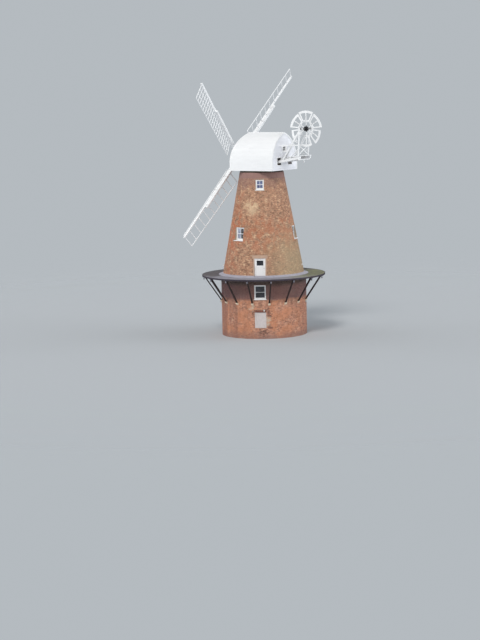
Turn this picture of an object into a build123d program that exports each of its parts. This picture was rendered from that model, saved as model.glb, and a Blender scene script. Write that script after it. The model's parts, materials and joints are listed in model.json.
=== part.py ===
"""Brick tower windmill with a timber gallery, a white boarded cap, four lattice sails and a fantail.

Millimetres, +Z up. The origin is the centre of the tower's foot on the ground. The sails face -Y
and the fantail stands behind the cap on +Y. Azimuths are degrees anticlockwise from +X.
"""

import os
from collections import namedtuple
from math import asin, atan, atan2, cos, degrees, radians, sin, sqrt, tan

from build123d import *

os.makedirs("parts", exist_ok=True)

# Brick tower
drum_radius = 4100
drum_height = 5800
cone_foot_inset = 160
tower_top_radius = 2100
tower_top = 15660
top_storey_wall = 320
set_off = 100
wall_joint_azimuth = 64
wall_quarter = 90

# Floors: the height of each walking surface, and what they are made of
ground_slab = 120
first_floor = 2950
stage_floor = 5850
window_floor = 8400
dust_floor = 13100
floor_board = 50
floor_joist_depth = 200
floor_joist_width = 90
floor_joist_pitch = 550
floor_edge_clearance = 4

# Openings in the tower: azimuths, clear widths, and heights of sill and head
front_azimuth = 28.7
side_azimuth = 120
middle_window_turn = -40
blocked_width, blocked_sill, blocked_head = 1100, 1040, 2540
lower_width, lower_sill, lower_head = 1100, 3730, 5130
stage_door_width, stage_door_head = 1060, 7630
middle_width, middle_sill, middle_head = 1080, 9220, 10500
top_width, top_sill, top_head = 780, 14000, 15000
entrance_width, entrance_head = 1250, 2300
cut_reach = 1500

# Window and door joinery
frame_recess = 30
frame_depth = 120
frame_border = 75
sill_height = 60
sill_nose = 90
sill_horn = 60
horn_clearance = 2
glass_thickness = 8
door_leaf = 50
door_light_width, door_light_height = 640, 480
door_light_from_top = 130
blocking_recess = 40
blocking_thickness = 80

# Wall lamps
lamp_width, lamp_height, lamp_depth = 110, 170, 120
lamp_round = 30
lamp_spread = 82.5
drum_lamp_height = 3150
cone_lamp_height = 6700
middle_lamp_height = 2720
middle_lamp_turn = 5

# Gallery
gallery_radius = 5950
deck_thickness = 50
rim_height = 150
rim_thickness = 50
strut_count = 16
strut_turn = 12
strut_level_width = 130
strut_width = 120
strut_foot_height = 3400
wall_clearance = 5
joist_depth = 150
joist_width = 120
joist_end_radius = 5895
pendant_size = 90
pendant_length = 300
pendant_radius = 5800
corbel_reach = 170
corbel_height = 220
corbel_width = 220
kerb_reach = 390
kerb_rise = 170
kerb_edge = 25

# Turning seat of the cap
curb_height = 160
curb_lip = 20
curb_clearance = 0.5
cap_ring_outer = 2050
cap_ring_height = 160
centring_clearance = 20
centring_wall = 60
centring_drop = 110

# Cap
cap_base = 15830
cap_half_width = 2140
cap_spring = 16600
cap_ridge = 19400
cap_front = -2230
cap_ridge_front = -1330
cap_rear = 2650
cap_shell = 60
sheer_offset = 860
sheer_width = 250
sheer_depth = 220
sheer_front = -2000
cross_beam_depth = 400
weather_beam_y = -1775
tail_beam_y = 1450
beam_width = 350
rear_beam_width = 290
rear_beam_depth = 300
bearing_half_width = 350
bearing_cap = 90
gable_window_width, gable_window_height = 600, 570
gable_window_centre = 17870
gable_frame_border = 80
beam_hole_inner, beam_hole_outer = 600, 1260
beam_hole_below, beam_hole_above = 315, 365

# Windshaft and poll end
hub_y, hub_z = -2550, 17180
shaft_tilt = 12.2
neck_radius = 200
shaft_radius = 170
tail_radius = 120
neck_length = 1150
tail_length = 520
shaft_end_y = 1700
bearing_clearance = 0.5
shaft_hole_clearance = 50
poll_reach = 400
poll_wall = 45

# Stocks and sails
sail_turn = 42.8
sail_radius = 10440
stock_half_length = 6600
stock_width = 260
stock_tip_width = 170
stock_depth = 250
stock_gap = 20
stock_parallel = 450
whip_start = 500
whip_root_width, whip_tip_width = 190, 120
whip_depth = 150
heel_radius, outer_bar_radius = 2000, 10300
bar_width, bar_depth = 60, 50
hemlath_size = 50
leading_board_width, leading_board_thickness = 150, 28
wide_bay_bars = 11
wide_bay_heel, wide_bay_tip = 1570, 1310
wide_bay_heel_weather, wide_bay_tip_weather = 400, 310
close_bay_bars = 20
close_bay_heel, close_bay_tip = 1560, 1590
close_bay_heel_weather, close_bay_tip_weather = 620, 370
close_bay_uplongs = 2

# Fan stage
fan_beam_width, fan_beam_depth = 160, 240
fan_beam_slope = 10
fan_beam_gable_rise = 464.5
fan_beam_end = 5030
fan_beam_seat = 800
packing_y, packing_length = 2040, 160
walkway_thickness = 35
walkway_gap = 60
platform_front, platform_rear = 4540, 5080
platform_half_width = 1000
platform_thickness = 50
cross_timber_y = 4790
cross_timber_size = 100
cross_timber_half = 980
post_width = 120
post_foot, post_head = 4760, 4950
strut_foot = 3050
frame_strut_width = 100
knee_foot = 3780
knee_rise = 1285
frame_head_length, frame_head_height = 400, 200
frame_head_set = 80
tie_rise = 1585
tie_depth = 90
brace_bottom_lift, brace_top_rise = 120, 1535
brace_width, brace_depth = 80, 60
drop_radius = 65
drop_length = 330

# Ladder from the walkway to one head of the fan frames
ladder_centre, ladder_width = 570, 300
ladder_foot, ladder_top_y, ladder_top_drop = 2880, 4850, 30
stile_width, stile_run = 60, 110
rung_radius = 18
rung_count = 10
top_bar_size = 80
top_bar_y = 4920
top_bar_start = 390

# Fan
fan_y, fan_rise = 5150, 3085
fan_radius = 1700
fan_blades_count = 6
fan_pitch = 10
blade_half_angle = 25.8
blade_inner, blade_inner_half = 720, 360
blade_thickness = 40
blade_rim = 220
blade_edge = 110
blade_spar = 90
blade_foot = 90
arm_thickness, arm_width, arm_reach = 60, 70, 1200
ring_apothem, ring_width = 700, 90
fan_hub_radius, fan_hub_half = 210, 110
axle_radius = 45
axle_half = 940

cone_foot_radius = drum_radius - cone_foot_inset
cone_slope = (cone_foot_radius - tower_top_radius) / (tower_top - drum_height)
cone_lean = degrees(atan(cone_slope))
floor_depth = floor_board + floor_joist_depth
tilt = radians(shaft_tilt)

Opening = namedtuple("Opening", "azimuth width sill head")


def outer_radius(height):
    """Radius of the tower's outer face: a plain drum below, a battered cone above."""
    if height < drum_height:
        return drum_radius
    return cone_foot_radius - cone_slope * (height - drum_height)


def cone_inner(height, wall):
    """Radius of the cone's inner face for one storey's wall thickness."""
    return cone_foot_radius - cone_slope * (height - drum_height) - wall


dust_ledge = dust_floor - floor_depth
window_ledge = window_floor - floor_depth
stage_ledge = stage_floor - floor_depth
first_ledge = first_floor - floor_depth
window_wall = top_storey_wall + set_off
stage_wall = window_wall + set_off
first_inner = cone_inner(stage_ledge, stage_wall) - set_off
ground_inner = first_inner - set_off

blocked_window = Opening(front_azimuth, blocked_width, blocked_sill, blocked_head)
lower_windows = [Opening(front_azimuth + turn, lower_width, lower_sill, lower_head) for turn in (0, 180)]
stage_doors = [
    Opening(front_azimuth + turn, stage_door_width, stage_floor, stage_door_head) for turn in (0, 180)
]
middle_windows = [
    Opening(front_azimuth + middle_window_turn + turn, middle_width, middle_sill, middle_head)
    for turn in (0, side_azimuth, 2 * side_azimuth)
]
top_windows = [Opening(front_azimuth + turn, top_width, top_sill, top_head) for turn in (0, 180)]
entrance = Opening(front_azimuth + 180, entrance_width, ground_slab, entrance_head)
all_windows = lower_windows + middle_windows + top_windows
all_openings = all_windows + stage_doors + [blocked_window, entrance]


def radial_plane(azimuth, distance, height):
    """A plane facing outwards at this distance from the tower's axis, with its y axis up."""
    turn = radians(azimuth)
    return Plane(
        origin=(distance * cos(turn), distance * sin(turn), height),
        x_dir=(-sin(turn), cos(turn), 0),
        z_dir=(cos(turn), sin(turn), 0),
    )


def section_plane(azimuth):
    """The upright plane through the tower's axis, with x outwards along this azimuth and y up."""
    turn = radians(azimuth)
    return Plane(origin=(0, 0, 0), x_dir=(cos(turn), sin(turn), 0), z_dir=(sin(turn), -cos(turn), 0))


def save(built, name):
    """Label a finished piece and write it to its own file."""
    built.part.label = name
    export_step(built.part, f"parts/{name}.step")


def save_group(pieces, name):
    """Write like pieces that share one body to one file, as separate solids."""
    with BuildPart() as group:
        for piece in pieces:
            add(piece)
    save(group, name)


# Brick tower

drum_profile = [
    (ground_inner, 0),
    (drum_radius, 0),
    (drum_radius, drum_height),
    (cone_inner(drum_height, stage_wall), drum_height),
    (cone_inner(stage_ledge, stage_wall), stage_ledge),
    (first_inner, stage_ledge),
    (first_inner, first_ledge),
    (ground_inner, first_ledge),
]
cone_profile = [
    (cone_inner(drum_height, stage_wall), drum_height),
    (cone_foot_radius, drum_height),
    (tower_top_radius, tower_top),
    (cone_inner(tower_top, top_storey_wall), tower_top),
    (cone_inner(dust_ledge, top_storey_wall), dust_ledge),
    (cone_inner(dust_ledge, window_wall), dust_ledge),
    (cone_inner(window_ledge, window_wall), window_ledge),
    (cone_inner(window_ledge, stage_wall), window_ledge),
]


def in_quarter(azimuth, start):
    """Whether an azimuth falls in the quarter of the tower that begins at this one."""
    return (azimuth - start) % 360 < wall_quarter


def wall_quarter_part(profile, start):
    """One quarter of a wall, turned from its profile, with its windows and doors cut through."""
    low, high = min(z for _, z in profile), max(z for _, z in profile)
    with BuildPart() as wall:
        with BuildSketch(section_plane(start)):
            with BuildLine():
                Polyline(*profile, close=True)
            make_face()
        revolve(axis=Axis.Z, revolution_arc=wall_quarter)
        for opening in all_openings:
            if in_quarter(opening.azimuth, start) and low < (opening.sill + opening.head) / 2 < high:
                inside = outer_radius(opening.head) - cut_reach
                middle = (opening.sill + opening.head) / 2
                with BuildSketch(radial_plane(opening.azimuth, inside, middle)):
                    Rectangle(opening.width, opening.head - opening.sill)
                extrude(amount=2 * cut_reach, mode=Mode.SUBTRACT)
    return wall


for number in range(4):
    quarter_start = wall_joint_azimuth + number * wall_quarter
    save(wall_quarter_part(drum_profile, quarter_start), f"drum_wall_{number + 1}")
    save(wall_quarter_part(cone_profile, quarter_start), f"cone_wall_{number + 1}")


# Floors

with BuildPart() as ground_floor:
    with BuildSketch():
        Circle(ground_inner)
    extrude(amount=ground_slab)
save(ground_floor, "ground_floor")


def timber_floor(top, radius):
    """Boards on parallel joists whose ends rest on the wall's set-off."""
    reach = radius - floor_joist_width
    count = 2 * int(reach / floor_joist_pitch) + 1
    with BuildPart() as floor:
        with BuildSketch(Plane.XY.offset(top)):
            Circle(radius)
        extrude(amount=-floor_board)
        with BuildSketch(Plane.XY.offset(top - floor_board)):
            with GridLocations(floor_joist_pitch, 0, count, 1):
                Rectangle(floor_joist_width, 2 * radius)
            Circle(radius, mode=Mode.INTERSECT)
        extrude(amount=-floor_joist_depth)
    return floor


save(timber_floor(first_floor, first_inner - floor_edge_clearance), "first_floor")
for floor_name, floor_top, wall in (
    ("stage_floor", stage_floor, stage_wall),
    ("window_floor", window_floor, window_wall),
    ("dust_floor", dust_floor, top_storey_wall),
):
    save(timber_floor(floor_top, cone_inner(floor_top, wall) - floor_edge_clearance), floor_name)


# Windows and doors of the tower


def frame_face(opening):
    """Distance from the tower's axis to the outer face of a frame, just inside the wall at its head."""
    return sqrt(outer_radius(opening.head) ** 2 - (opening.width / 2) ** 2) - frame_recess


def window_frame(opening):
    """A box frame set upright in the opening, on a sill that runs out past the leaning wall."""
    face = frame_face(opening)
    frame_height = opening.head - opening.sill - sill_height
    middle = opening.sill + sill_height + frame_height / 2
    nose_start = sqrt(outer_radius(opening.sill) ** 2 - (opening.width / 2) ** 2) + horn_clearance
    sill_plane = radial_plane(opening.azimuth, face - frame_depth, opening.sill + sill_height / 2)
    with BuildPart() as frame:
        with BuildSketch(radial_plane(opening.azimuth, face, middle)):
            Rectangle(opening.width, frame_height)
            Rectangle(opening.width - 2 * frame_border, frame_height - 2 * frame_border, mode=Mode.SUBTRACT)
        extrude(amount=-frame_depth)
        with BuildSketch(sill_plane):
            Rectangle(opening.width, sill_height)
        extrude(amount=nose_start - face + frame_depth)
        with BuildSketch(sill_plane.offset(nose_start - face + frame_depth)):
            Rectangle(opening.width + 2 * sill_horn, sill_height)
        extrude(amount=sill_nose)
    return frame.part


def window_pane(opening):
    """One sheet of glass closing a window frame, in the middle of its depth."""
    height = opening.head - opening.sill - sill_height
    plane = radial_plane(
        opening.azimuth, frame_face(opening) - frame_depth / 2, opening.sill + sill_height + height / 2
    )
    with BuildPart() as pane:
        with BuildSketch(plane):
            Rectangle(opening.width - 2 * frame_border, height - 2 * frame_border)
        extrude(amount=glass_thickness)
    return pane.part


def door_frame(opening):
    """Two jambs and a head, filling the opening above the floor."""
    height = opening.head - opening.sill
    with BuildPart() as frame:
        with BuildSketch(radial_plane(opening.azimuth, frame_face(opening), opening.sill + height / 2)):
            Rectangle(opening.width, height)
            with Locations((0, -frame_border / 2)):
                Rectangle(opening.width - 2 * frame_border, height - frame_border, mode=Mode.SUBTRACT)
        extrude(amount=-frame_depth)
    return frame.part


def light_plane(opening, distance):
    """Plane of a door's glazed light, centred on the light."""
    middle = opening.head - frame_border - door_light_from_top - door_light_height / 2
    return radial_plane(opening.azimuth, distance, middle)


def door_back(opening):
    """Distance from the axis to the inner face of a door leaf, which is centred in its frame."""
    return frame_face(opening) - frame_depth / 2 - door_leaf / 2


def boarded_leaf(opening, light):
    """A door leaf that fills its frame, with a hole for glass near the top where it has a light."""
    height = opening.head - opening.sill - frame_border
    with BuildPart() as leaf:
        with BuildSketch(radial_plane(opening.azimuth, door_back(opening), opening.sill + height / 2)):
            Rectangle(opening.width - 2 * frame_border, height)
        extrude(amount=door_leaf)
        if light:
            with BuildSketch(light_plane(opening, door_back(opening))):
                Rectangle(door_light_width, door_light_height)
            extrude(amount=door_leaf, mode=Mode.SUBTRACT)
    return leaf.part


def door_pane(opening):
    """The glass in a door's light."""
    with BuildPart() as pane:
        with BuildSketch(light_plane(opening, door_back(opening) + (door_leaf - glass_thickness) / 2)):
            Rectangle(door_light_width, door_light_height)
        extrude(amount=glass_thickness)
    return pane.part


save_group([window_frame(opening) for opening in all_windows], "tower_window_frames")
save_group(
    [window_pane(opening) for opening in all_windows] + [door_pane(opening) for opening in stage_doors],
    "tower_glass",
)
save_group([door_frame(opening) for opening in stage_doors + [entrance]], "door_frames")
save_group([boarded_leaf(opening, True) for opening in stage_doors], "stage_doors")
save_group([boarded_leaf(entrance, False)], "entrance_door")

blocking_face = sqrt(drum_radius**2 - (blocked_width / 2) ** 2) - blocking_recess
with BuildPart() as blocked_panel:
    with BuildSketch(radial_plane(front_azimuth, blocking_face, (blocked_sill + blocked_head) / 2)):
        Rectangle(blocked_width, blocked_head - blocked_sill)
    extrude(amount=-blocking_thickness)
save(blocked_panel, "blocked_window_panel")


# Wall lamps


def wall_lamp(azimuth, height):
    """A small bulkhead lamp whose flat back lies on the wall."""
    lean = radians(cone_lean) if height > drum_height else 0
    turn = radians(azimuth)
    radius = outer_radius(height)
    seat = Plane(
        origin=(radius * cos(turn), radius * sin(turn), height),
        x_dir=(-sin(turn), cos(turn), 0),
        z_dir=(cos(turn) * cos(lean), sin(turn) * cos(lean), sin(lean)),
    )
    with BuildPart() as lamp:
        with BuildSketch(seat):
            RectangleRounded(lamp_width, lamp_height, lamp_round)
        extrude(amount=lamp_depth)
        fillet(lamp.faces().sort_by(Axis(seat.origin, seat.z_dir))[-1].edges(), lamp_round)
    return lamp.part


lamps = [wall_lamp(front_azimuth + middle_lamp_turn, middle_lamp_height)]
for side in (-1, 1):
    lamps.append(wall_lamp(front_azimuth + side * lamp_spread, drum_lamp_height))
    lamps.append(wall_lamp(front_azimuth + side * lamp_spread, cone_lamp_height))
save_group(lamps, "wall_lamps")


# Gallery

deck_underside = stage_floor - deck_thickness
first_strut = front_azimuth + strut_turn

with BuildPart() as gallery_deck:
    with BuildSketch(Plane.XY.offset(deck_underside)):
        Circle(gallery_radius)
        Circle(cone_foot_radius + wall_clearance, mode=Mode.SUBTRACT)
    extrude(amount=deck_thickness)
    with BuildSketch(Plane.XY.offset(stage_floor - rim_height)):
        Circle(gallery_radius)
        Circle(gallery_radius - rim_thickness, mode=Mode.SUBTRACT)
    extrude(amount=rim_height)
save(gallery_deck, "gallery_deck")

with BuildPart() as one_joist:
    with BuildSketch(Plane.XZ):
        with BuildLine():
            Polyline(
                (drum_radius, deck_underside),
                (joist_end_radius, deck_underside),
                (joist_end_radius, deck_underside - joist_depth),
                (drum_radius, deck_underside - joist_depth),
                close=True,
            )
        make_face()
    extrude(amount=joist_width / 2, both=True)
    with BuildSketch(Plane.XY.offset(deck_underside - joist_depth)):
        with Locations((pendant_radius, 0)):
            Rectangle(pendant_size, pendant_size)
    extrude(amount=-(pendant_length - joist_depth))
    with BuildSketch():
        Circle(drum_radius)
    extrude(amount=drum_height, mode=Mode.SUBTRACT)

strut_top = deck_underside - joist_depth
strut_start = drum_radius + wall_clearance
strut_run = pendant_radius - pendant_size / 2 - wall_clearance - strut_level_width - strut_start
with BuildPart() as one_strut:
    with BuildSketch(Plane.XZ):
        with BuildLine():
            Polyline(
                (strut_start, strut_foot_height),
                (strut_start + strut_level_width, strut_foot_height),
                (strut_start + strut_level_width + strut_run, strut_top),
                (strut_start + strut_run, strut_top),
                close=True,
            )
        make_face()
    extrude(amount=strut_width / 2, both=True)

with BuildPart() as one_corbel:
    with BuildSketch(Plane.XZ):
        with BuildLine():
            Polyline(
                (drum_radius - corbel_reach, strut_foot_height),
                (drum_radius + corbel_reach, strut_foot_height),
                (drum_radius + corbel_reach, strut_foot_height - corbel_height / 3),
                (drum_radius, strut_foot_height - corbel_height),
                (drum_radius - corbel_reach, strut_foot_height - corbel_height),
                close=True,
            )
        make_face()
    extrude(amount=corbel_width / 2, both=True)
    with BuildSketch():
        Circle(drum_radius)
    extrude(amount=drum_height, mode=Mode.SUBTRACT)


def ring_of(piece, count, start):
    """Copies of one piece turned about the tower's axis."""
    with BuildPart() as ring:
        with PolarLocations(0, count, start_angle=start):
            add(piece.part)
    return ring


save(ring_of(one_joist, strut_count, first_strut), "gallery_joists")
save(ring_of(one_strut, strut_count, first_strut), "gallery_struts")
save(ring_of(one_corbel, strut_count, first_strut), "strut_corbels")

kerb_profile = [
    (outer_radius(stage_floor) + wall_clearance, stage_floor),
    (cone_foot_radius + kerb_reach, stage_floor),
    (cone_foot_radius + kerb_reach, stage_floor + kerb_edge),
    (outer_radius(stage_floor + kerb_rise) + wall_clearance, stage_floor + kerb_rise),
]
with BuildPart() as kerb_ring:
    with BuildSketch(Plane.XZ):
        with BuildLine():
            Polyline(*kerb_profile, close=True)
        make_face()
    revolve(axis=Axis.Z)
    for doorway in stage_doors:
        inside = cone_foot_radius - kerb_reach
        with BuildSketch(radial_plane(doorway.azimuth, inside, stage_floor + kerb_rise / 2)):
            Rectangle(stage_door_width, 2 * kerb_rise)
        extrude(amount=3 * kerb_reach, mode=Mode.SUBTRACT)
save(kerb_ring, "kerb_ring")


# Turning seat

curb_top = tower_top + curb_height
curb_inner = cone_inner(tower_top, top_storey_wall)
with BuildPart() as curb_ring:
    with BuildSketch(Plane.XY.offset(tower_top)):
        Circle(tower_top_radius - curb_lip)
        Circle(curb_inner, mode=Mode.SUBTRACT)
    extrude(amount=curb_height)
save(curb_ring, "curb_ring")

ring_bottom = curb_top + curb_clearance
with BuildPart() as cap_ring:
    with BuildSketch(Plane.XY.offset(ring_bottom)):
        Circle(cap_ring_outer)
        Circle(curb_inner - centring_clearance - centring_wall, mode=Mode.SUBTRACT)
    extrude(amount=cap_ring_height)
    with BuildSketch(Plane.XY.offset(ring_bottom)):
        Circle(curb_inner - centring_clearance)
        Circle(curb_inner - centring_clearance - centring_wall, mode=Mode.SUBTRACT)
    extrude(amount=-centring_drop)
save(cap_ring, "cap_ring")


# Windshaft line, used by the cap and by the sails

hub = Vector(0, hub_y, hub_z)
shaft_forward = Vector(0, -cos(tilt), sin(tilt))
sail_up = Vector(0, sin(tilt), cos(tilt))
shaft_plane = Plane(origin=hub, x_dir=(1, 0, 0), z_dir=shaft_forward)


def shaft_height(y):
    """Height of the windshaft's centre line at this distance along the cap."""
    return hub_z - (y - hub_y) * tan(tilt)


def along_shaft(y):
    """Distance forward along the windshaft from the hub to this distance along the cap."""
    return (hub_y - y) / cos(tilt)


# Timber frame of the cap

sheer_bottom = ring_bottom + cap_ring_height
sheer_top = sheer_bottom + sheer_depth
sheer_rear = cap_rear - cap_shell - rear_beam_width
cross_beam_top = sheer_top + cross_beam_depth
inner_half_width = cap_half_width - cap_shell
fan_slope = tan(radians(fan_beam_slope))
half_beam_height = fan_beam_depth / 2 / cos(radians(fan_beam_slope))
fan_beam_gable_height = sheer_top + fan_beam_gable_rise
beam_hole_bottom = fan_beam_gable_height - beam_hole_below
beam_hole_top = fan_beam_gable_height + beam_hole_above
knee_height = fan_beam_gable_height + knee_rise
tie_height = fan_beam_gable_height + tie_rise
brace_top_height = fan_beam_gable_height + brace_top_rise
fan_z = fan_beam_gable_height + fan_rise
ladder_top = fan_z - ladder_top_drop


def fan_beam_line(y):
    """Height of a fan beam's centre line, which rises towards the rear."""
    return fan_beam_gable_height + (y - cap_rear) * fan_slope


def fan_beam_top(y):
    """Height of a fan beam's upper face."""
    return fan_beam_line(y) + half_beam_height


def fan_beam_underside(y):
    """Height of a fan beam's lower face."""
    return fan_beam_line(y) - half_beam_height


def side_slab(points, centre_x, width):
    """A flat outline in the upright fore-and-aft plane, given thickness about this x."""
    with BuildPart() as slab:
        with BuildSketch(Plane.YZ.offset(centre_x)):
            with BuildLine():
                Polyline(*points, close=True)
            make_face()
        extrude(amount=width / 2, both=True)
    return slab.part


packing_end = packing_y + packing_length
sheer_outline = [
    (sheer_front, sheer_bottom),
    (sheer_rear, sheer_bottom),
    (sheer_rear, sheer_top),
    (packing_end, sheer_top),
    (packing_end, fan_beam_underside(packing_end)),
    (packing_y, fan_beam_underside(packing_y)),
    (packing_y, sheer_top),
    (sheer_front, sheer_top),
]
save_group(
    [side_slab(sheer_outline, side * sheer_offset, sheer_width) for side in (-1, 1)],
    "cap_sheers",
)

with BuildPart() as weather_beam:
    with BuildSketch(Plane.XY.offset(sheer_top)):
        with Locations((0, weather_beam_y)):
            Rectangle(2 * inner_half_width, beam_width)
    extrude(amount=cross_beam_depth)
    with BuildSketch(Plane.XY.offset(cross_beam_top)):
        with Locations((0, weather_beam_y)):
            Rectangle(2 * bearing_half_width, beam_width)
    extrude(amount=shaft_height(weather_beam_y) + neck_radius + bearing_cap - cross_beam_top)
    with BuildSketch(shaft_plane):
        Circle(neck_radius + bearing_clearance)
    extrude(amount=2 * hub_y, mode=Mode.SUBTRACT)
save(weather_beam, "weather_beam")

with BuildPart() as tail_beam:
    with BuildSketch(Plane.XY.offset(sheer_bottom)):
        with Locations((0, tail_beam_y)):
            Rectangle(2 * sheer_offset - sheer_width, beam_width)
    extrude(amount=cross_beam_top - sheer_bottom)
    with BuildSketch(shaft_plane):
        Circle(tail_radius + bearing_clearance)
    extrude(amount=2 * hub_y, mode=Mode.SUBTRACT)
save(tail_beam, "tail_beam")

with BuildPart() as rear_beam:
    with BuildSketch(Plane.XY.offset(sheer_top)):
        with Locations((0, sheer_rear + rear_beam_width / 2)):
            Rectangle(2 * inner_half_width, rear_beam_width)
    extrude(amount=-rear_beam_depth)
save(rear_beam, "rear_beam")


# Shell of the cap: a pointed-arch tunnel with a curved hip in front and a flat gable behind

arch_rise = cap_ridge - cap_spring
arch_radius = (cap_half_width**2 + arch_rise**2) / (2 * cap_half_width)
arch_centre = cap_half_width - arch_radius
inner_radius = arch_radius - cap_shell
inner_ridge = cap_spring + sqrt(inner_radius**2 - arch_centre**2)
hip_run = cap_ridge_front - cap_front
hip_radius = (hip_run**2 + arch_rise**2) / (2 * hip_run)


def apex_angle(radius):
    """Angle at which the right-hand arc of the arch reaches the ridge."""
    return degrees(atan2(sqrt(radius**2 - arch_centre**2), -arch_centre))


with BuildSketch() as inner_arch:
    with BuildLine():
        Polyline(
            (inner_half_width, cap_spring),
            (inner_half_width, cap_base),
            (-inner_half_width, cap_base),
            (-inner_half_width, cap_spring),
        )
        CenterArc((arch_centre, cap_spring), inner_radius, 0, apex_angle(inner_radius))
        CenterArc((-arch_centre, cap_spring), inner_radius, 180, -apex_angle(inner_radius))
    make_face()

hip_angle = degrees(asin(arch_rise / hip_radius))
inner_hip_angle = degrees(asin(arch_rise / (hip_radius - cap_shell)))
hip_centre = cap_front + hip_radius
over = 2 * cap_shell

with BuildPart() as cap_side_right:
    with BuildSketch(Plane.XZ.offset(-cap_rear)):
        with BuildLine():
            Polyline(
                (inner_half_width, cap_spring),
                (inner_half_width, cap_base),
                (cap_half_width, cap_base),
                (cap_half_width, cap_spring),
            )
            CenterArc((arch_centre, cap_spring), arch_radius, 0, apex_angle(arch_radius))
            Line((0, cap_ridge), (0, inner_ridge))
            CenterArc((arch_centre, cap_spring), inner_radius, 0, apex_angle(inner_radius))
        make_face()
    extrude(amount=cap_rear - cap_front)
    with BuildSketch(Plane.YZ):
        with BuildLine():
            Line((cap_front, cap_base - over), (cap_front, cap_spring))
            CenterArc((hip_centre, cap_spring), hip_radius, 180, -hip_angle)
            Polyline(
                (cap_ridge_front, cap_ridge),
                (cap_ridge_front, cap_ridge + over),
                (cap_rear + over, cap_ridge + over),
                (cap_rear + over, cap_base - over),
                (cap_front, cap_base - over),
            )
        make_face()
    extrude(amount=cap_half_width, mode=Mode.INTERSECT)
save(cap_side_right, "cap_side_right")

with BuildPart() as cap_side_left:
    add(cap_side_right.part)
    mirror(about=Plane.YZ, mode=Mode.REPLACE)
save(cap_side_left, "cap_side_left")

with BuildPart() as cap_hip:
    with BuildSketch(Plane.YZ):
        with BuildLine():
            Line((cap_front, cap_base), (cap_front, cap_spring))
            outer_hip = CenterArc((hip_centre, cap_spring), hip_radius, 180, -hip_angle)
            inner_hip = CenterArc((hip_centre, cap_spring), hip_radius - cap_shell, 180, -inner_hip_angle)
            Line(outer_hip @ 1, inner_hip @ 1)
            Polyline(
                (cap_front + cap_shell, cap_spring),
                (cap_front + cap_shell, cap_base),
                (cap_front, cap_base),
            )
        make_face()
    extrude(amount=cap_half_width, both=True)
    with BuildSketch(Plane.XZ.offset(-cap_rear)):
        add(inner_arch.sketch)
    extrude(amount=cap_rear - 2 * cap_front, mode=Mode.INTERSECT)
    with BuildSketch(shaft_plane):
        Circle(neck_radius + shaft_hole_clearance)
    extrude(amount=hub_y, mode=Mode.SUBTRACT)
save(cap_hip, "cap_front")

with BuildPart() as cap_gable:
    with BuildSketch(Plane.XZ.offset(-cap_rear)):
        add(inner_arch.sketch)
        with Locations((0, gable_window_centre)):
            Rectangle(gable_window_width, gable_window_height, mode=Mode.SUBTRACT)
        for side in (-1, 1):
            hole_x = side * (beam_hole_inner + beam_hole_outer) / 2
            with Locations((hole_x, (beam_hole_bottom + beam_hole_top) / 2)):
                Rectangle(
                    beam_hole_outer - beam_hole_inner, beam_hole_top - beam_hole_bottom, mode=Mode.SUBTRACT
                )
    extrude(amount=cap_shell)
save(cap_gable, "cap_gable")

gable_frame_plane = Plane.XZ.offset(-cap_rear)
with BuildPart() as gable_window_frame:
    with BuildSketch(gable_frame_plane):
        with Locations((0, gable_window_centre)):
            Rectangle(gable_window_width, gable_window_height)
            Rectangle(
                gable_window_width - 2 * gable_frame_border,
                gable_window_height - 2 * gable_frame_border,
                mode=Mode.SUBTRACT,
            )
    extrude(amount=cap_shell)
save(gable_window_frame, "gable_window_frame")

with BuildPart() as gable_glass:
    with BuildSketch(gable_frame_plane.offset(cap_shell / 2)):
        with Locations((0, gable_window_centre)):
            Rectangle(
                gable_window_width - 2 * gable_frame_border, gable_window_height - 2 * gable_frame_border
            )
    extrude(amount=glass_thickness)
save(gable_glass, "gable_glass")


# Windshaft, its poll end and the two stocks


def sail_plane(number, lift=0):
    """Plane across the windshaft with x out along one sail and y towards its leading side."""
    turn = radians(sail_turn + 90 * number)
    outwards = sail_up * cos(turn) - Vector(1, 0, 0) * sin(turn)
    return Plane(origin=hub, x_dir=outwards, z_dir=shaft_forward).offset(lift)


back_stock_lift = -stock_gap / 2 - stock_depth
front_stock_lift = stock_gap / 2
poll_half = stock_width / 2 + poll_wall
with BuildPart() as windshaft:
    with BuildSketch(sail_plane(0, back_stock_lift - poll_wall)):
        Rectangle(2 * poll_reach, 2 * poll_half)
    extrude(amount=stock_depth + poll_wall + stock_gap / 2)
    with BuildSketch(sail_plane(1, 0)):
        Rectangle(2 * poll_reach, 2 * poll_half)
    extrude(amount=stock_depth + poll_wall + stock_gap / 2)
    with BuildSketch(sail_plane(0, back_stock_lift)):
        Rectangle(3 * poll_reach, stock_width)
    extrude(amount=stock_depth, mode=Mode.SUBTRACT)
    with BuildSketch(sail_plane(1, front_stock_lift)):
        Rectangle(3 * poll_reach, stock_width)
    extrude(amount=stock_depth, mode=Mode.SUBTRACT)
    with BuildSketch(shaft_plane.offset(back_stock_lift - poll_wall)):
        Circle(neck_radius)
    extrude(amount=-neck_length)
    with BuildSketch(shaft_plane.offset(back_stock_lift - poll_wall - neck_length)):
        Circle(shaft_radius)
    extrude(amount=along_shaft(shaft_end_y) + tail_length - back_stock_lift + poll_wall + neck_length)
    with BuildSketch(shaft_plane.offset(along_shaft(shaft_end_y) + tail_length)):
        Circle(tail_radius)
    extrude(amount=-tail_length)
save(windshaft, "windshaft")

stock_outline = [
    (stock_half_length, stock_tip_width / 2),
    (stock_parallel, stock_width / 2),
    (-stock_parallel, stock_width / 2),
    (-stock_half_length, stock_tip_width / 2),
    (-stock_half_length, -stock_tip_width / 2),
    (-stock_parallel, -stock_width / 2),
    (stock_parallel, -stock_width / 2),
    (stock_half_length, -stock_tip_width / 2),
]


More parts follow.
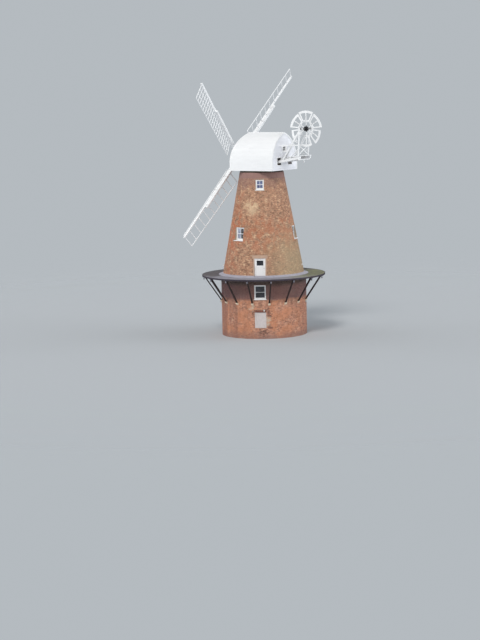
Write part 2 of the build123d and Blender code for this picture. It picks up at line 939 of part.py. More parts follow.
def stock(plane):
    """A long timber tapering from the poll end to both its tips."""
    with BuildPart() as timber:
        with BuildSketch(plane):
            with BuildLine():
                Polyline(*stock_outline, close=True)
            make_face()
        extrude(amount=stock_depth)
    return timber


save(stock(sail_plane(0, back_stock_lift)), "back_stock")
save(stock(sail_plane(1, front_stock_lift)), "front_stock")


# Sails: each is a whip with bars let through it, a hemlath along their ends and a leading board

Lattice = namedtuple("Lattice", "bars heel tip heel_weather tip_weather uplongs")
wide_bays = Lattice(
    wide_bay_bars, wide_bay_heel, wide_bay_tip, wide_bay_heel_weather, wide_bay_tip_weather, 0
)
close_bays = Lattice(
    close_bay_bars,
    close_bay_heel,
    close_bay_tip,
    close_bay_heel_weather,
    close_bay_tip_weather,
    close_bay_uplongs,
)


def whip_half(radius):
    """Half the whip's width at this distance from the windshaft."""
    share = (radius - whip_start) / (sail_radius - whip_start)
    return (whip_root_width + (whip_tip_width - whip_root_width) * share) / 2


def bar_vector(plane, lattice, radius):
    """From the whip to a bar's trailing end: out to the side, and back by the sail's weather."""
    share = (radius - heel_radius) / (outer_bar_radius - heel_radius)
    side = lattice.heel + (lattice.tip - lattice.heel) * share
    back = lattice.heel_weather + (lattice.tip_weather - lattice.heel_weather) * share
    return plane.y_dir * -side - plane.z_dir * back


def sail(number, lattice, lift):
    """One sail, its whip bedded on the front of its stock."""
    plane = sail_plane(number, lift)
    spacing = (outer_bar_radius - heel_radius) / (lattice.bars - 1)

    def whip_point(radius):
        return plane.from_local_coords(Vector(radius, 0, whip_depth / 2))

    bars = []
    for step in range(lattice.bars):
        radius = heel_radius + step * spacing
        reach = bar_vector(plane, lattice, radius)
        bars.append((Plane(origin=whip_point(radius), x_dir=reach, z_dir=plane.x_dir), reach.length))
    shares = [1] + [(index + 1) / (lattice.uplongs + 1) for index in range(lattice.uplongs)]
    laths = []
    for share in shares:
        start = whip_point(heel_radius) + bar_vector(plane, lattice, heel_radius) * share
        end = whip_point(outer_bar_radius) + bar_vector(plane, lattice, outer_bar_radius) * share
        line = (end - start).normalized()
        laths.append((Plane(origin=start - line * bar_width / 2, x_dir=plane.y_dir, z_dir=line), start, end))
    with BuildPart() as whole:
        with BuildSketch(plane):
            with BuildLine():
                Polyline(
                    (whip_start, whip_half(whip_start)),
                    (sail_radius, whip_half(sail_radius)),
                    (sail_radius, -whip_half(sail_radius)),
                    (whip_start, -whip_half(whip_start)),
                    close=True,
                )
            make_face()
        extrude(amount=whip_depth)
        with BuildSketch(plane.offset(whip_depth - leading_board_thickness)):
            with BuildLine():
                Polyline(
                    (heel_radius, 0),
                    (heel_radius, whip_half(heel_radius) + leading_board_width),
                    (outer_bar_radius, whip_half(outer_bar_radius) + leading_board_width),
                    (outer_bar_radius, 0),
                    close=True,
                )
            make_face()
        extrude(amount=leading_board_thickness)
        for bar_plane, length in bars:
            with BuildSketch(bar_plane):
                with Locations((length / 2, 0)):
                    Rectangle(length, bar_depth)
            extrude(amount=bar_width / 2, both=True)
        for lath_plane, start, end in laths:
            with BuildSketch(lath_plane):
                Rectangle(hemlath_size, hemlath_size)
            extrude(amount=(end - start).length + bar_width)
    return whole


back_whip_lift = back_stock_lift + stock_depth
front_whip_lift = front_stock_lift + stock_depth
save(sail(0, wide_bays, back_whip_lift), "sail_1")
save(sail(1, close_bays, front_whip_lift), "sail_2")
save(sail(2, wide_bays, back_whip_lift), "sail_3")
save(sail(3, close_bays, front_whip_lift), "sail_4")


# Fan stage behind the cap

fan_beam_start = cap_rear + (sheer_top + half_beam_height - fan_beam_gable_height) / fan_slope
fan_beam_outline = [
    (fan_beam_start, sheer_top),
    (fan_beam_end, fan_beam_underside(fan_beam_end)),
    (fan_beam_end, fan_beam_top(fan_beam_end)),
    (fan_beam_start - fan_beam_seat, fan_beam_top(fan_beam_start - fan_beam_seat)),
    (fan_beam_start - fan_beam_seat, sheer_top),
]
save_group(
    [side_slab(fan_beam_outline, side * sheer_offset, fan_beam_width) for side in (-1, 1)],
    "fan_beams",
)


def laid_on_beams(front, rear, thickness):
    """Outline of boards lying on the sloping fan beams."""
    return [
        (front, fan_beam_top(front)),
        (rear, fan_beam_top(rear)),
        (rear, fan_beam_top(rear) + thickness),
        (front, fan_beam_top(front) + thickness),
    ]


walkway_outline = laid_on_beams(cap_rear + walkway_gap, platform_front - walkway_gap, walkway_thickness)
walkway_width = 2 * sheer_offset - post_width
save_group([side_slab(walkway_outline, 0, walkway_width)], "fan_walkway")

platform_boards = side_slab(
    laid_on_beams(platform_front, platform_rear, platform_thickness), 0, 2 * platform_half_width
)
cross_timber_rear = cross_timber_y + cross_timber_size
cross_timber_bottom = fan_beam_underside(cross_timber_y) - cross_timber_size
cross_timber = side_slab(
    [
        (cross_timber_y, fan_beam_underside(cross_timber_y)),
        (cross_timber_rear, fan_beam_underside(cross_timber_rear)),
        (cross_timber_rear, cross_timber_bottom),
        (cross_timber_y, cross_timber_bottom),
    ],
    0,
    2 * cross_timber_half,
)
save_group([platform_boards, cross_timber], "fan_platform")


def platform_top(y):
    """Height of the platform's walking surface."""
    return fan_beam_top(y) + platform_thickness


post_lean = (post_head - post_foot) / (fan_z - platform_top(post_foot))


def post_line(height):
    """Fore-and-aft place of the fan posts' centre line at this height."""
    return post_head - (fan_z - height) * post_lean


def fan_frame(side):
    """Post, raking strut, knee brace and tie that carry one end of the fan's axle."""
    post_rear = post_foot + post_width / 2
    post_front = post_foot - post_width / 2
    strut_back = strut_foot + frame_strut_width
    knee_back = knee_foot + frame_strut_width
    knee_low = knee_height - frame_strut_width
    with BuildPart() as frame:
        with BuildSketch(Plane.YZ.offset(side * sheer_offset)):
            with BuildLine():
                Polyline(
                    (post_front, platform_top(post_front)),
                    (post_rear, platform_top(post_rear)),
                    (post_head + post_width / 2, fan_z),
                    (post_head - post_width / 2, fan_z),
                    close=True,
                )
            make_face()
            with BuildLine():
                Polyline(
                    (knee_foot, fan_beam_top(knee_foot)),
                    (knee_back, fan_beam_top(knee_back)),
                    (post_line(knee_low), knee_low),
                    (post_line(knee_height), knee_height),
                    close=True,
                )
            make_face()
            with BuildLine():
                Polyline(
                    (strut_foot, fan_beam_top(strut_foot)),
                    (strut_back, fan_beam_top(strut_back)),
                    (fan_y, fan_z - frame_strut_width / 2),
                    (fan_y - frame_strut_width, fan_z - frame_strut_width / 2),
                    close=True,
                )
            make_face()
            with BuildLine():
                Polyline(
                    (cap_rear, tie_height),
                    (post_line(tie_height), tie_height),
                    (post_line(tie_height), tie_height - tie_depth),
                    (cap_rear, tie_height - tie_depth),
                    close=True,
                )
            make_face()
            with Locations((fan_y - frame_head_set, fan_z)):
                Rectangle(frame_head_length, frame_head_height)
            with Locations((fan_y, fan_z)):
                Circle(axle_radius + bearing_clearance, mode=Mode.SUBTRACT)
        extrude(amount=post_width / 2, both=True)
    return frame.part


save_group([fan_frame(side) for side in (-1, 1)], "fan_frames")

brace_half_span = sheer_offset - post_width / 2
brace_bottom = platform_top(post_foot) + brace_bottom_lift
brace_middle = (brace_bottom + brace_top_height) / 2
brace_plane = Plane(
    origin=(0, post_line(brace_middle), brace_middle),
    x_dir=(1, 0, 0),
    z_dir=(0, -1, post_lean),
)
brace_rise = (brace_top_height - brace_bottom) * sqrt(1 + post_lean**2)
with BuildPart() as fan_cross_brace:
    for side in (-1, 1):
        with BuildSketch(brace_plane):
            with BuildLine():
                Polyline(
                    (-brace_half_span, -side * brace_rise / 2 - brace_width / 2),
                    (brace_half_span, side * brace_rise / 2 - brace_width / 2),
                    (brace_half_span, side * brace_rise / 2 + brace_width / 2),
                    (-brace_half_span, -side * brace_rise / 2 + brace_width / 2),
                    close=True,
                )
            make_face()
        extrude(amount=brace_depth / 2, both=True)
save(fan_cross_brace, "fan_cross_brace")

drop_y = cross_timber_y + cross_timber_size / 2
drop_bottom = cross_timber_bottom - drop_length
with BuildPart() as stage_drop:
    with BuildSketch(Plane.YZ):
        with BuildLine():
            Polyline(
                (drop_y, cross_timber_bottom),
                (drop_y + drop_radius / 2, cross_timber_bottom),
                (drop_y + drop_radius, (cross_timber_bottom + 2 * drop_bottom) / 3),
                (drop_y, drop_bottom),
                close=True,
            )
        make_face()
    revolve(axis=Axis((0, drop_y, 0), (0, 0, 1)))
save(stage_drop, "stage_drop")


# Ladder


def walkway_top(y):
    """Height of the walkway's upper face."""
    return fan_beam_top(y) + walkway_thickness


def ladder_point(share, inset):
    """A point up the ladder, from its foot at 0 to its top at 1."""
    low = walkway_top(ladder_foot)
    return (ladder_foot + inset + (ladder_top_y - ladder_foot) * share, low + (ladder_top - low) * share)


stile_outline = [
    (ladder_foot, walkway_top(ladder_foot)),
    (ladder_foot + stile_run, walkway_top(ladder_foot + stile_run)),
    ladder_point(1, stile_run),
    ladder_point(1, 0),
]
top_bar_centre = (top_bar_y, ladder_top - top_bar_size / 2)
with BuildPart() as fan_ladder:
    for side in (-1, 1):
        add(side_slab(stile_outline, ladder_centre + side * ladder_width / 2, stile_width))
    with BuildSketch(Plane.YZ.offset(ladder_centre)):
        for rung in range(rung_count):
            with Locations(ladder_point((rung + 1 / 2) / rung_count, stile_run / 2)):
                Circle(rung_radius)
    extrude(amount=ladder_width / 2, both=True)
    with BuildSketch(Plane.YZ.offset(top_bar_start)):
        with Locations(top_bar_centre):
            Rectangle(top_bar_size, top_bar_size)
    extrude(amount=sheer_offset - post_width / 2 - top_bar_start)
save(fan_ladder, "fan_ladder")


# Fan

fan_centre = Vector(0, fan_y, fan_z)


def blade_plane(number):
    """Plane of one blade: x out along its arm, z across its face, turned by the pitch."""
    turn = radians(360 / fan_blades_count * number)
    outwards = Vector(0, sin(turn), cos(turn))
    across = Vector(0, cos(turn), -sin(turn))
    facing = Vector(1, 0, 0) * cos(radians(fan_pitch)) + across * sin(radians(fan_pitch))
    return Plane(origin=fan_centre, x_dir=outwards, z_dir=facing)


blade_corner = (
    fan_radius * cos(radians(blade_half_angle)),
    fan_radius * sin(radians(blade_half_angle)),
)
edge_rise = (blade_corner[1] - blade_inner_half) / (blade_corner[0] - blade_inner)
edge_inset = blade_edge * sqrt(1 + edge_rise**2)
light_start = blade_inner + blade_foot
light_low = blade_inner_half + edge_rise * blade_foot - edge_inset
light_radius = fan_radius - blade_rim
line_at_hub = blade_inner_half - edge_rise * blade_inner - edge_inset
light_corner_x = (
    sqrt(light_radius**2 * (1 + edge_rise**2) - line_at_hub**2) - edge_rise * line_at_hub
) / (1 + edge_rise**2)
light_corner_y = edge_rise * light_corner_x + line_at_hub
light_tip = sqrt(light_radius**2 - (blade_spar / 2) ** 2)
light_middle = degrees(atan2(light_corner_y, light_corner_x) + asin(blade_spar / 2 / light_radius)) / 2


def fan_blade(number):
    """A tapered open frame with a curved rim board, two edge boards and a centre spar."""
    with BuildPart() as blade:
        with BuildSketch(blade_plane(number)):
            with BuildLine():
                Polyline(
                    blade_corner,
                    (blade_inner, blade_inner_half),
                    (blade_inner, -blade_inner_half),
                    (blade_corner[0], -blade_corner[1]),
                )
                ThreePointArc((blade_corner[0], -blade_corner[1]), (fan_radius, 0), blade_corner)
            make_face()
            for side in (-1, 1):
                with BuildLine():
                    Polyline(
                        (light_tip, side * blade_spar / 2),
                        (light_start, side * blade_spar / 2),
                        (light_start, side * light_low),
                        (light_corner_x, side * light_corner_y),
                    )
                    ThreePointArc(
                        (light_corner_x, side * light_corner_y),
                        (
                            light_radius * cos(radians(light_middle)),
                            side * light_radius * sin(radians(light_middle)),
                        ),
                        (light_tip, side * blade_spar / 2),
                    )
                make_face(mode=Mode.SUBTRACT)
        extrude(amount=blade_thickness)
    return blade.part


save_group([fan_blade(number) for number in range(fan_blades_count)], "fan_blades")

with BuildPart() as fan_spider:
    with BuildSketch(Plane.YZ):
        with Locations((fan_y, fan_z)):
            Circle(fan_hub_radius)
    extrude(amount=fan_hub_half, both=True)
    for number in range(fan_blades_count):
        with BuildSketch(blade_plane(number)):
            with Locations((arm_reach / 2, 0)):
                Rectangle(arm_reach, arm_width)
        extrude(amount=-arm_thickness)
    with BuildSketch(Plane(origin=fan_centre, x_dir=(0, 0, 1), z_dir=(1, 0, 0))):
        RegularPolygon(ring_apothem, fan_blades_count, major_radius=False, rotation=180 / fan_blades_count)
        RegularPolygon(
            ring_apothem - ring_width,
            fan_blades_count,
            major_radius=False,
            rotation=180 / fan_blades_count,
            mode=Mode.SUBTRACT,
        )
    extrude(amount=arm_thickness / 2, both=True)
    with BuildSketch(Plane.YZ):
        with Locations((fan_y, fan_z)):
            Circle(axle_radius)
    extrude(amount=2 * fan_hub_half, both=True, mode=Mode.SUBTRACT)
save(fan_spider, "fan_spider")

with BuildPart() as fan_axle:
    with BuildSketch(Plane.YZ):
        with Locations((fan_y, fan_z)):
            Circle(axle_radius)
    extrude(amount=axle_half, both=True)
save(fan_axle, "fan_axle")
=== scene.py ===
"""Dresses the frame of a brick tower windmill: brickwork, joinery, boarding, ironwork, finishes and light.

Metres, +Z up, in the frame's own coordinates. Azimuths are degrees anticlockwise from +X. The sails face -Y.
"""

import json
from collections import namedtuple
from math import acos, cos, pi, radians, sin, sqrt, tan

import bpy
import numpy as np
from bpy.props import FloatProperty, FloatVectorProperty, IntProperty, PointerProperty
from mathutils import Euler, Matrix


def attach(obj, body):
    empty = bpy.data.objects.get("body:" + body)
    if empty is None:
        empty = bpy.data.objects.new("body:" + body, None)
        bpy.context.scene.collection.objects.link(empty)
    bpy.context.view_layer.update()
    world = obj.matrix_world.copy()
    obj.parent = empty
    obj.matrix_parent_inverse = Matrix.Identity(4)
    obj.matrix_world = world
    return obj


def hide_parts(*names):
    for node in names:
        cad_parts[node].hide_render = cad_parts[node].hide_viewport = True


bl_info = {
    "name": "Tower Windmill",
    "version": (1, 0, 0),
    "blender": (4, 5, 0),
    "location": "3D View > Sidebar > Windmill",
    "description": "Dresses a tower windmill with brickwork, joinery, boarding and ironwork",
    "category": "Object",
}

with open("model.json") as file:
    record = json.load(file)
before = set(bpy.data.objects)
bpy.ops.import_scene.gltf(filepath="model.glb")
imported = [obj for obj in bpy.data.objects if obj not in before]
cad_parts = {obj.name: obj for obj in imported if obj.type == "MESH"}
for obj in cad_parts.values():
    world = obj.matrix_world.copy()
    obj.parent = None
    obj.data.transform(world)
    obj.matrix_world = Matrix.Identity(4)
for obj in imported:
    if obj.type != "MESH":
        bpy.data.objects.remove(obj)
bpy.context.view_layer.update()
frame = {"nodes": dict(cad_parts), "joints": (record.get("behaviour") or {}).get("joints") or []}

# Tower
DRUM_RADIUS, DRUM_HEIGHT = 4.1, 5.8
CONE_FOOT_RADIUS, TOWER_TOP_RADIUS, TOWER_TOP = 3.94, 2.1, 15.66
CONE_SLOPE = (CONE_FOOT_RADIUS - TOWER_TOP_RADIUS) / (TOWER_TOP - DRUM_HEIGHT)
STAGE_FLOOR = 5.85
FRONT = 28.7
RENDER_BAND_FOOT = 15.12

# Joinery of the openings
FRAME_RECESS, FRAME_DEPTH, FRAME_BORDER, SILL_HEIGHT = 0.03, 0.12, 0.075, 0.06
DOOR_LEAF = 0.05
LIGHT_WIDTH, LIGHT_HEIGHT, LIGHT_FROM_TOP = 0.64, 0.48, 0.13
TRIM_WIDTH = 0.06
KNOB = (0.002, 0), (0.012, 0), (0.012, 0.03), (0.026, 0.04), (0.026, 0.06), (0.002, 0.066)
ARCH_SKEW, JAMB_WIDTH, LINTEL_LAP = 0.06, 0.12, 0.19

# Gallery
GALLERY_RADIUS, RIM_THICKNESS, RIM_HEIGHT, DECK_THICKNESS = 5.95, 0.05, 0.15, 0.05
STRUT_COUNT, FIRST_STRUT, STRUT_FOOT = 16, FRONT + 12, 3.4
PENDANT_RADIUS, PENDANT_FOOT = 5.8, 5.5
# Bolts of the struts: radius, height and how far their heads stand from the strut's middle
STRUT_BOLTS = (
    (PENDANT_RADIUS, 5.72, 0.044),
    (PENDANT_RADIUS, 5.62, 0.044),
    (5.62, 5.5, 0.06),
    (4.25, 3.47, 0.06),
)

# Cap
CAP_BASE, CAP_SPRING, CAP_RIDGE = 15.83, 16.6, 19.4
CAP_HALF_WIDTH, CAP_FRONT, CAP_RIDGE_FRONT, CAP_REAR = 2.14, -2.23, -1.33, 2.65
ARCH_RISE = CAP_RIDGE - CAP_SPRING
ARCH_RADIUS = (CAP_HALF_WIDTH**2 + ARCH_RISE**2) / (2 * CAP_HALF_WIDTH)
ARCH_CENTRE = CAP_HALF_WIDTH - ARCH_RADIUS
ARCH_LENGTH = CAP_SPRING - CAP_BASE + ARCH_RADIUS * acos(-ARCH_CENTRE / ARCH_RADIUS)
HIP_RUN = CAP_RIDGE_FRONT - CAP_FRONT
HIP_RADIUS = (HIP_RUN**2 + ARCH_RISE**2) / (2 * HIP_RUN)
HIP_CENTRE = CAP_FRONT + HIP_RADIUS
SHAFT_HOLE_RADIUS = 0.28
GABLE_WINDOW = (0.6, 0.57, 17.87)
BEAM_HOLE = (0.6, 1.26, 16.35, 17.03)

# Fan stage
SHEER_OFFSET = 0.86
BEAM_GABLE_HEIGHT, BEAM_SLOPE, BEAM_DEPTH = 16.665, 10, 0.24
WALKWAY = (2.71, 4.48, 0.80, 0.035)
PLATFORM = (4.54, 5.08, 1.0, 0.05)
CROSS_TIMBER = (4.84, 0.98, 0.1)
TOE_BOARD_OFFSET = 0.78
FAN_BLADES, FAN_PITCH = 6, 10

# Sails
SAIL_TURN = 42.8
STOCK_LIFTS = ((-0.26, 0.14), (0.01, 0.41))
STOCK_HALF_WIDTH, STOCK_TIP_HALF_WIDTH, STOCK_HALF_LENGTH = 0.13, 0.085, 6.6
SAIL_RADIUS, HEEL_RADIUS, OUTER_BAR_RADIUS = 10.44, 2.0, 10.3
BARS = (11, 20)
STRAP_RADII = (1.15, 2.75, 4.45, 6.3)

# Studio
FLOOR_RADIUS, FLOOR_CORNERS, FLOOR_FADE = 260, 64, (22.0, 80.0)
CAMERA_PLACE, CAMERA_TURN = (146.4765, 98.7253, 24.588), (82.4953, 1.2175, 124.5926)

joint_of = {joint["name"]: joint for joint in frame["joints"]}
HUB = np.array(joint_of["sails_turn"]["pos_m"], float)
SHAFT = np.array(joint_of["sails_turn"]["axis"], float)
FAN = np.array(joint_of["fantail_spin"]["pos_m"], float)
UP = np.array((0.0, 0.0, 1.0))
ACROSS = np.array((1.0, 0.0, 0.0))
REARWARDS = np.array((0.0, 1.0, 0.0))

Opening = namedtuple("Opening", "azimuth width sill head arch columns")
LOWER_WINDOWS = [Opening(FRONT + turn, 1.1, 3.73, 5.13, 0.225, 1) for turn in (0, 180)]
MIDDLE_WINDOWS = [Opening(FRONT - 40 + turn, 1.08, 9.22, 10.5, 0.225, 2) for turn in (0, 120, 240)]
TOP_WINDOWS = [Opening(FRONT + turn, 0.78, 14.0, 15.0, 0.105, 2) for turn in (0, 180)]
STAGE_DOORS = [Opening(FRONT + turn, 1.06, STAGE_FLOOR, 7.63, 0.3, 0) for turn in (0, 180)]
ENTRANCE = Opening(FRONT + 180, 1.25, 0.12, 2.3, 0.225, 0)
BLOCKED = Opening(FRONT, 1.1, 1.04, 2.54, 0.225, 0)
WINDOWS = LOWER_WINDOWS + MIDDLE_WINDOWS + TOP_WINDOWS

# Stains and repairs of the brickwork: azimuth, height, solid radius, faded radius
DARK_PATCHES = (
    (39.6, 2.62, 0.1, 0.42),
    (40.4, 2.24, 0.05, 0.3),
    (18.9, 2.6, 0.02, 0.26),
    (41.0, 1.15, 0.05, 0.3),
    (34.6, 0.7, 0.08, 0.42),
    (29.3, 0.66, 0.08, 0.36),
)
PALE_PATCHES = (38.6, 1.86, 0.1, 0.34), (38.0, 1.4, 0.05, 0.28), (17.4, 2.9, 0.03, 0.3)
LIME_PATCHES = (14, 12.2, 0.05, 0.7), (4, 12.6, 0.05, 0.5), (20, 12.6, 0.05, 0.35)


def linear(red, green, blue):
    """A screen colour of 0 to 255 as the linear colour that the shaders take."""
    shares = np.array((red, green, blue)) / 255
    return tuple(np.where(shares <= 0.04045, shares / 12.92, ((shares + 0.055) / 1.055) ** 2.4))


def shade(tone, factor):
    """A colour made darker or lighter."""
    return tuple(min(1.0, channel * factor) for channel in tone)


# Settings


def size(name, description, default):
    """A length that the panel shows."""
    return FloatProperty(name=name, description=description, default=default, min=0, unit="LENGTH")


def colour(name, description, default):
    """A colour that the panel shows."""
    return FloatVectorProperty(
        name=name, description=description, default=default, subtype="COLOR", size=3, min=0, max=1
    )


class BrickSettings(bpy.types.PropertyGroup):
    stretcher: size("Stretcher", "Length of a brick laid along the wall", 0.215)
    header: size("Header", "Width of a brick laid through the wall", 0.1025)
    height: size("Height", "Height of a brick", 0.065)
    joint: size("Joint", "Thickness of the mortar joints", 0.01)
    proud: size("Proud", "How far the bricks stand out of the mortar", 0.007)
    drum: colour("Drum brick", "Main colour of the drum's bricks", linear(188, 128, 103))
    cone: colour("Cone brick", "Main colour of the cone's bricks", linear(175, 129, 102))
    mortar: colour("Mortar", "Colour of the mortar", linear(178, 158, 136))


class JoinerySettings(bpy.types.PropertyGroup):
    stile: size("Stile", "Width of a sash's stiles and rails", 0.05)
    glazing_bar: size("Glazing bar", "Width of a glazing bar", 0.026)
    plank: size("Door plank", "Width of the planks of a door", 0.102)
    paint: colour("Joinery paint", "Paint of windows and doors", linear(247, 247, 247))
    entrance: colour("Entrance paint", "Paint of the ground floor's door", linear(70, 84, 74))


class GallerySettings(bpy.types.PropertyGroup):
    board: size("Board", "Width of a deck board at the gallery's edge", 0.16)
    gap: size("Gap", "Gap between two deck boards", 0.006)
    deck: colour("Deck", "Colour of the weathered deck boards", linear(108, 103, 108))
    moss: colour("Moss", "Colour of the moss on the deck", linear(134, 138, 92))
    strut: colour("Struts", "Stain of the struts and joists", linear(52, 38, 36))


class CapSettings(bpy.types.PropertyGroup):
    rows: IntProperty(name="Board rows", description="Rows of boards from eaves to ridge", default=28, min=4)
    lap: size("Lap", "How far a board's lower edge stands out", 0.012)
    paint: colour("Cap paint", "Paint of the cap's boards", linear(246, 247, 248))
    gable: colour("Gable paint", "Paint of the rear gable", linear(244, 245, 250))


class SailSettings(bpy.types.PropertyGroup):
    strap_width: size("Strap width", "Width of the iron straps", 0.06)
    strap_thickness: size("Strap thickness", "Thickness of the iron straps", 0.008)
    paint: colour("Sail paint", "Paint of the sails and the fan", linear(244, 245, 246))
    iron: colour("Iron", "Colour of the painted ironwork", linear(46, 44, 48))


class StudioSettings(bpy.types.PropertyGroup):
    floor: colour("Floor", "Colour of the floor", (0.52, 0.551, 0.579))
    backdrop: colour("Backdrop", "Colour behind the windmill", (0.46, 0.495, 0.525))
    sky: FloatProperty(name="Sky", description="Strength of the light from all sides", default=0.54, min=0)
    sun: FloatProperty(name="Sun", description="Strength of the soft key light", default=1.62, min=0)
    lens: FloatProperty(
        name="Lens",
        description="Focal length of the camera",
        default=103.189,
        min=10,
        subtype="DISTANCE_CAMERA",
    )


# Surfaces

Shape = namedtuple("Shape", "points faces owner grain")
CAPS = {4: ((0, 1, 2, 3),), 8: ((0, 1, 2, 3), (0, 3, 4, 7), (4, 5, 6, 7))}


def joined(*parts):
    """Numbers and arrays of matching shapes as the coordinates of points, in a last axis."""
    return np.stack(np.broadcast_arrays(*parts), -1)


def quads(*corners):
    """Flat quads (n, 4, 2) from their four corners of (across, up), anticlockwise."""
    return np.stack([joined(*corner) for corner in corners], -2)


def compass(turn):
    """Unit vectors outwards and sideways, anticlockwise, at angles round the tower."""
    return joined(np.cos(turn), np.sin(turn), 0.0), joined(-np.sin(turn), np.cos(turn), 0.0)


def swept(sections):
    """Closed solids: each one's section, a ring of 4 or 8 points anticlockwise as seen from its end, is
    carried through its stations, S(i, j) = sections[station i, ring point j], and both ends are closed. The
    grain coordinates are the distance along the stations and the distance round the ring."""
    count, stations, ring, _ = sections.shape
    here = np.arange(ring)
    after = (here + 1) % ring
    side = joined(here, after, after + ring, here + ring)
    side = (side + np.arange(stations - 1)[:, None, None] * ring).reshape(-1, 4)
    caps = np.array(CAPS[ring])
    single = np.concatenate([side, caps[:, ::-1], caps + (stations - 1) * ring])
    faces = (single + np.arange(count)[:, None, None] * stations * ring).reshape(-1, 4)
    middle = sections.mean(2)
    run = np.linalg.norm(np.diff(middle, axis=1, prepend=middle[:, :1]), axis=-1).cumsum(1)
    step = np.linalg.norm(np.roll(sections[:, 0], -1, 1) - sections[:, 0], axis=-1)
    girth = np.concatenate([np.zeros((count, 1)), step.cumsum(1)], 1)
    station, turn = single // ring, single % ring
    turn[:, 1:3] = np.where(turn[:, 1:3] < turn[:, :1], ring, turn[:, 1:3])
    grain = joined(run[:, station], girth[:, turn]).reshape(-1, 2)
    owner = np.repeat(np.arange(count), len(single))
    return Shape(sections.reshape(-1, 3), faces, owner, grain + np.repeat(owner, 4)[:, None] * (3.7, 1.9))


def bars(start, end, side, width, depth, chamfer=0.004, end_width=None):
    """Straight timbers with chamfered edges: an octagon of width by depth, its width along side, is carried
    from start to end, P = start + t (end - start), and may taper to end_width."""
    start, end = np.broadcast_arrays(*(np.atleast_2d(np.asarray(point, float)) for point in (start, end)))
    along = end - start
    along = along / np.linalg.norm(along, axis=-1, keepdims=True)
    side = np.broadcast_to(np.asarray(side, float), start.shape)
    side = side - (side * along).sum(-1, keepdims=True) * along
    side = side / np.linalg.norm(side, axis=-1, keepdims=True)
    rise = np.cross(along, side)
    half_depth = np.broadcast_to(np.asarray(depth, float) / 2, len(start))[:, None]
    signs = np.array([(1, -1), (1, 1), (1, 1), (-1, 1), (-1, 1), (-1, -1), (-1, -1), (1, -1)])
    cut = np.array([(0, 1), (0, 1), (1, 0), (1, 0), (0, 1), (0, 1), (1, 0), (1, 0)]) * chamfer
    ends = []
    for point, full in ((start, width), (end, width if end_width is None else end_width)):
        half = np.broadcast_to(np.asarray(full, float) / 2, len(start))[:, None]
        across = signs[:, 0] * (half - cut[:, 0])
        up = signs[:, 1] * (half_depth - cut[:, 1])
        ends.append(point[:, None] + across[..., None] * side[:, None] + up[..., None] * rise[:, None])
    return swept(np.stack(ends, 1))


def nuts(root, rise, side, width, chamfer):
    """Nuts: squares with their corners cut to an octagon, standing on their roots."""
    return bars(root, root + rise, side, width, width, chamfer)


def turned(profile, centre, axis, segments=32):
    """Closed rings: a closed outline of (radius, distance along the axis), anticlockwise, is carried round
    the axis, P(a, k) = centre + r(k) (cos a X + sin a Y) + h(k) Z."""
    axis = np.asarray(axis, float) / np.linalg.norm(axis)
    east = np.cross(axis, UP if abs(axis[2]) < 0.9 else ACROSS)
    east = east / np.linalg.norm(east)
    north = np.cross(axis, east)
    profile = np.asarray(profile, float)
    angle = np.linspace(0, 2 * pi, segments, endpoint=False)
    out = np.cos(angle)[:, None] * east + np.sin(angle)[:, None] * north
    points = np.asarray(centre) + profile[:, 0, None] * out[:, None] + profile[:, 1, None] * axis
    count = len(profile)
    turn, step = np.meshgrid(np.arange(segments), np.arange(count), indexing="ij")
    later, above = (turn + 1) % segments, (step + 1) % count
    faces = joined(turn * count + step, later * count + step, later * count + above, turn * count + above)
    grain = joined(joined(turn, turn + 1, turn + 1, turn), joined(step, step, step + 1, step + 1)) / 8
    return Shape(points.reshape(-1, 3), faces.reshape(-1, 4), np.zeros(turn.size, int), grain.reshape(-1, 2))


def make(name, shapes, finish, body, shades=None):
    """One piece, riding on a body, from several shapes. Each face carries its own block's shade of 0 to 1."""
    points = np.concatenate([shape.points for shape in shapes])
    starts = np.cumsum([0] + [len(shape.points) for shape in shapes[:-1]])
    faces = np.concatenate([shape.faces + start for shape, start in zip(shapes, starts)])
    owners = np.cumsum([0] + [shape.owner.max() + 1 for shape in shapes[:-1]])
    owner = np.concatenate([shape.owner + first for shape, first in zip(shapes, owners)])
    if shades is None:
        shades = np.random.default_rng(len(name)).random(owner.max() + 1)
    mesh = bpy.data.meshes.new(name)
    mesh.vertices.add(len(points))
    mesh.vertices.foreach_set("co", points.astype(np.float32).ravel())
    mesh.loops.add(faces.size)
    mesh.loops.foreach_set("vertex_index", faces.astype(np.int32).ravel())
    mesh.polygons.add(len(faces))
    mesh.polygons.foreach_set("loop_start", np.arange(0, faces.size, 4, dtype=np.int32))
    mesh.update(calc_edges=True)
    mesh.set_sharp_from_angle(angle=radians(30))
    mesh.attributes.new("shade", "FLOAT", "FACE").data.foreach_set("value", shades[owner].astype(np.float32))
    grain = np.concatenate([shape.grain for shape in shapes])
    mesh.uv_layers.new(name="grain").uv.foreach_set("vector", grain.astype(np.float32).ravel())
    mesh.materials.append(finishes()[finish])
    piece = bpy.data.objects.new(name, mesh)
    bpy.context.scene.collection.objects.link(piece)
    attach(piece, body)
    return piece


def wall_radius(height):
    """Radius of the wall's outer face: a plain drum, then a cone R = foot - slope (z - drum height)."""
    cone = CONE_FOOT_RADIUS - CONE_SLOPE * (height - DRUM_HEIGHT)
    return np.where(height < DRUM_HEIGHT, DRUM_RADIUS, cone)


def on_wall(turn, height, proud):
    """Points at an angle and a height, standing out of the wall's face."""
    radius = wall_radius(height) + proud
    return joined(radius * np.cos(turn), radius * np.sin(turn), height)


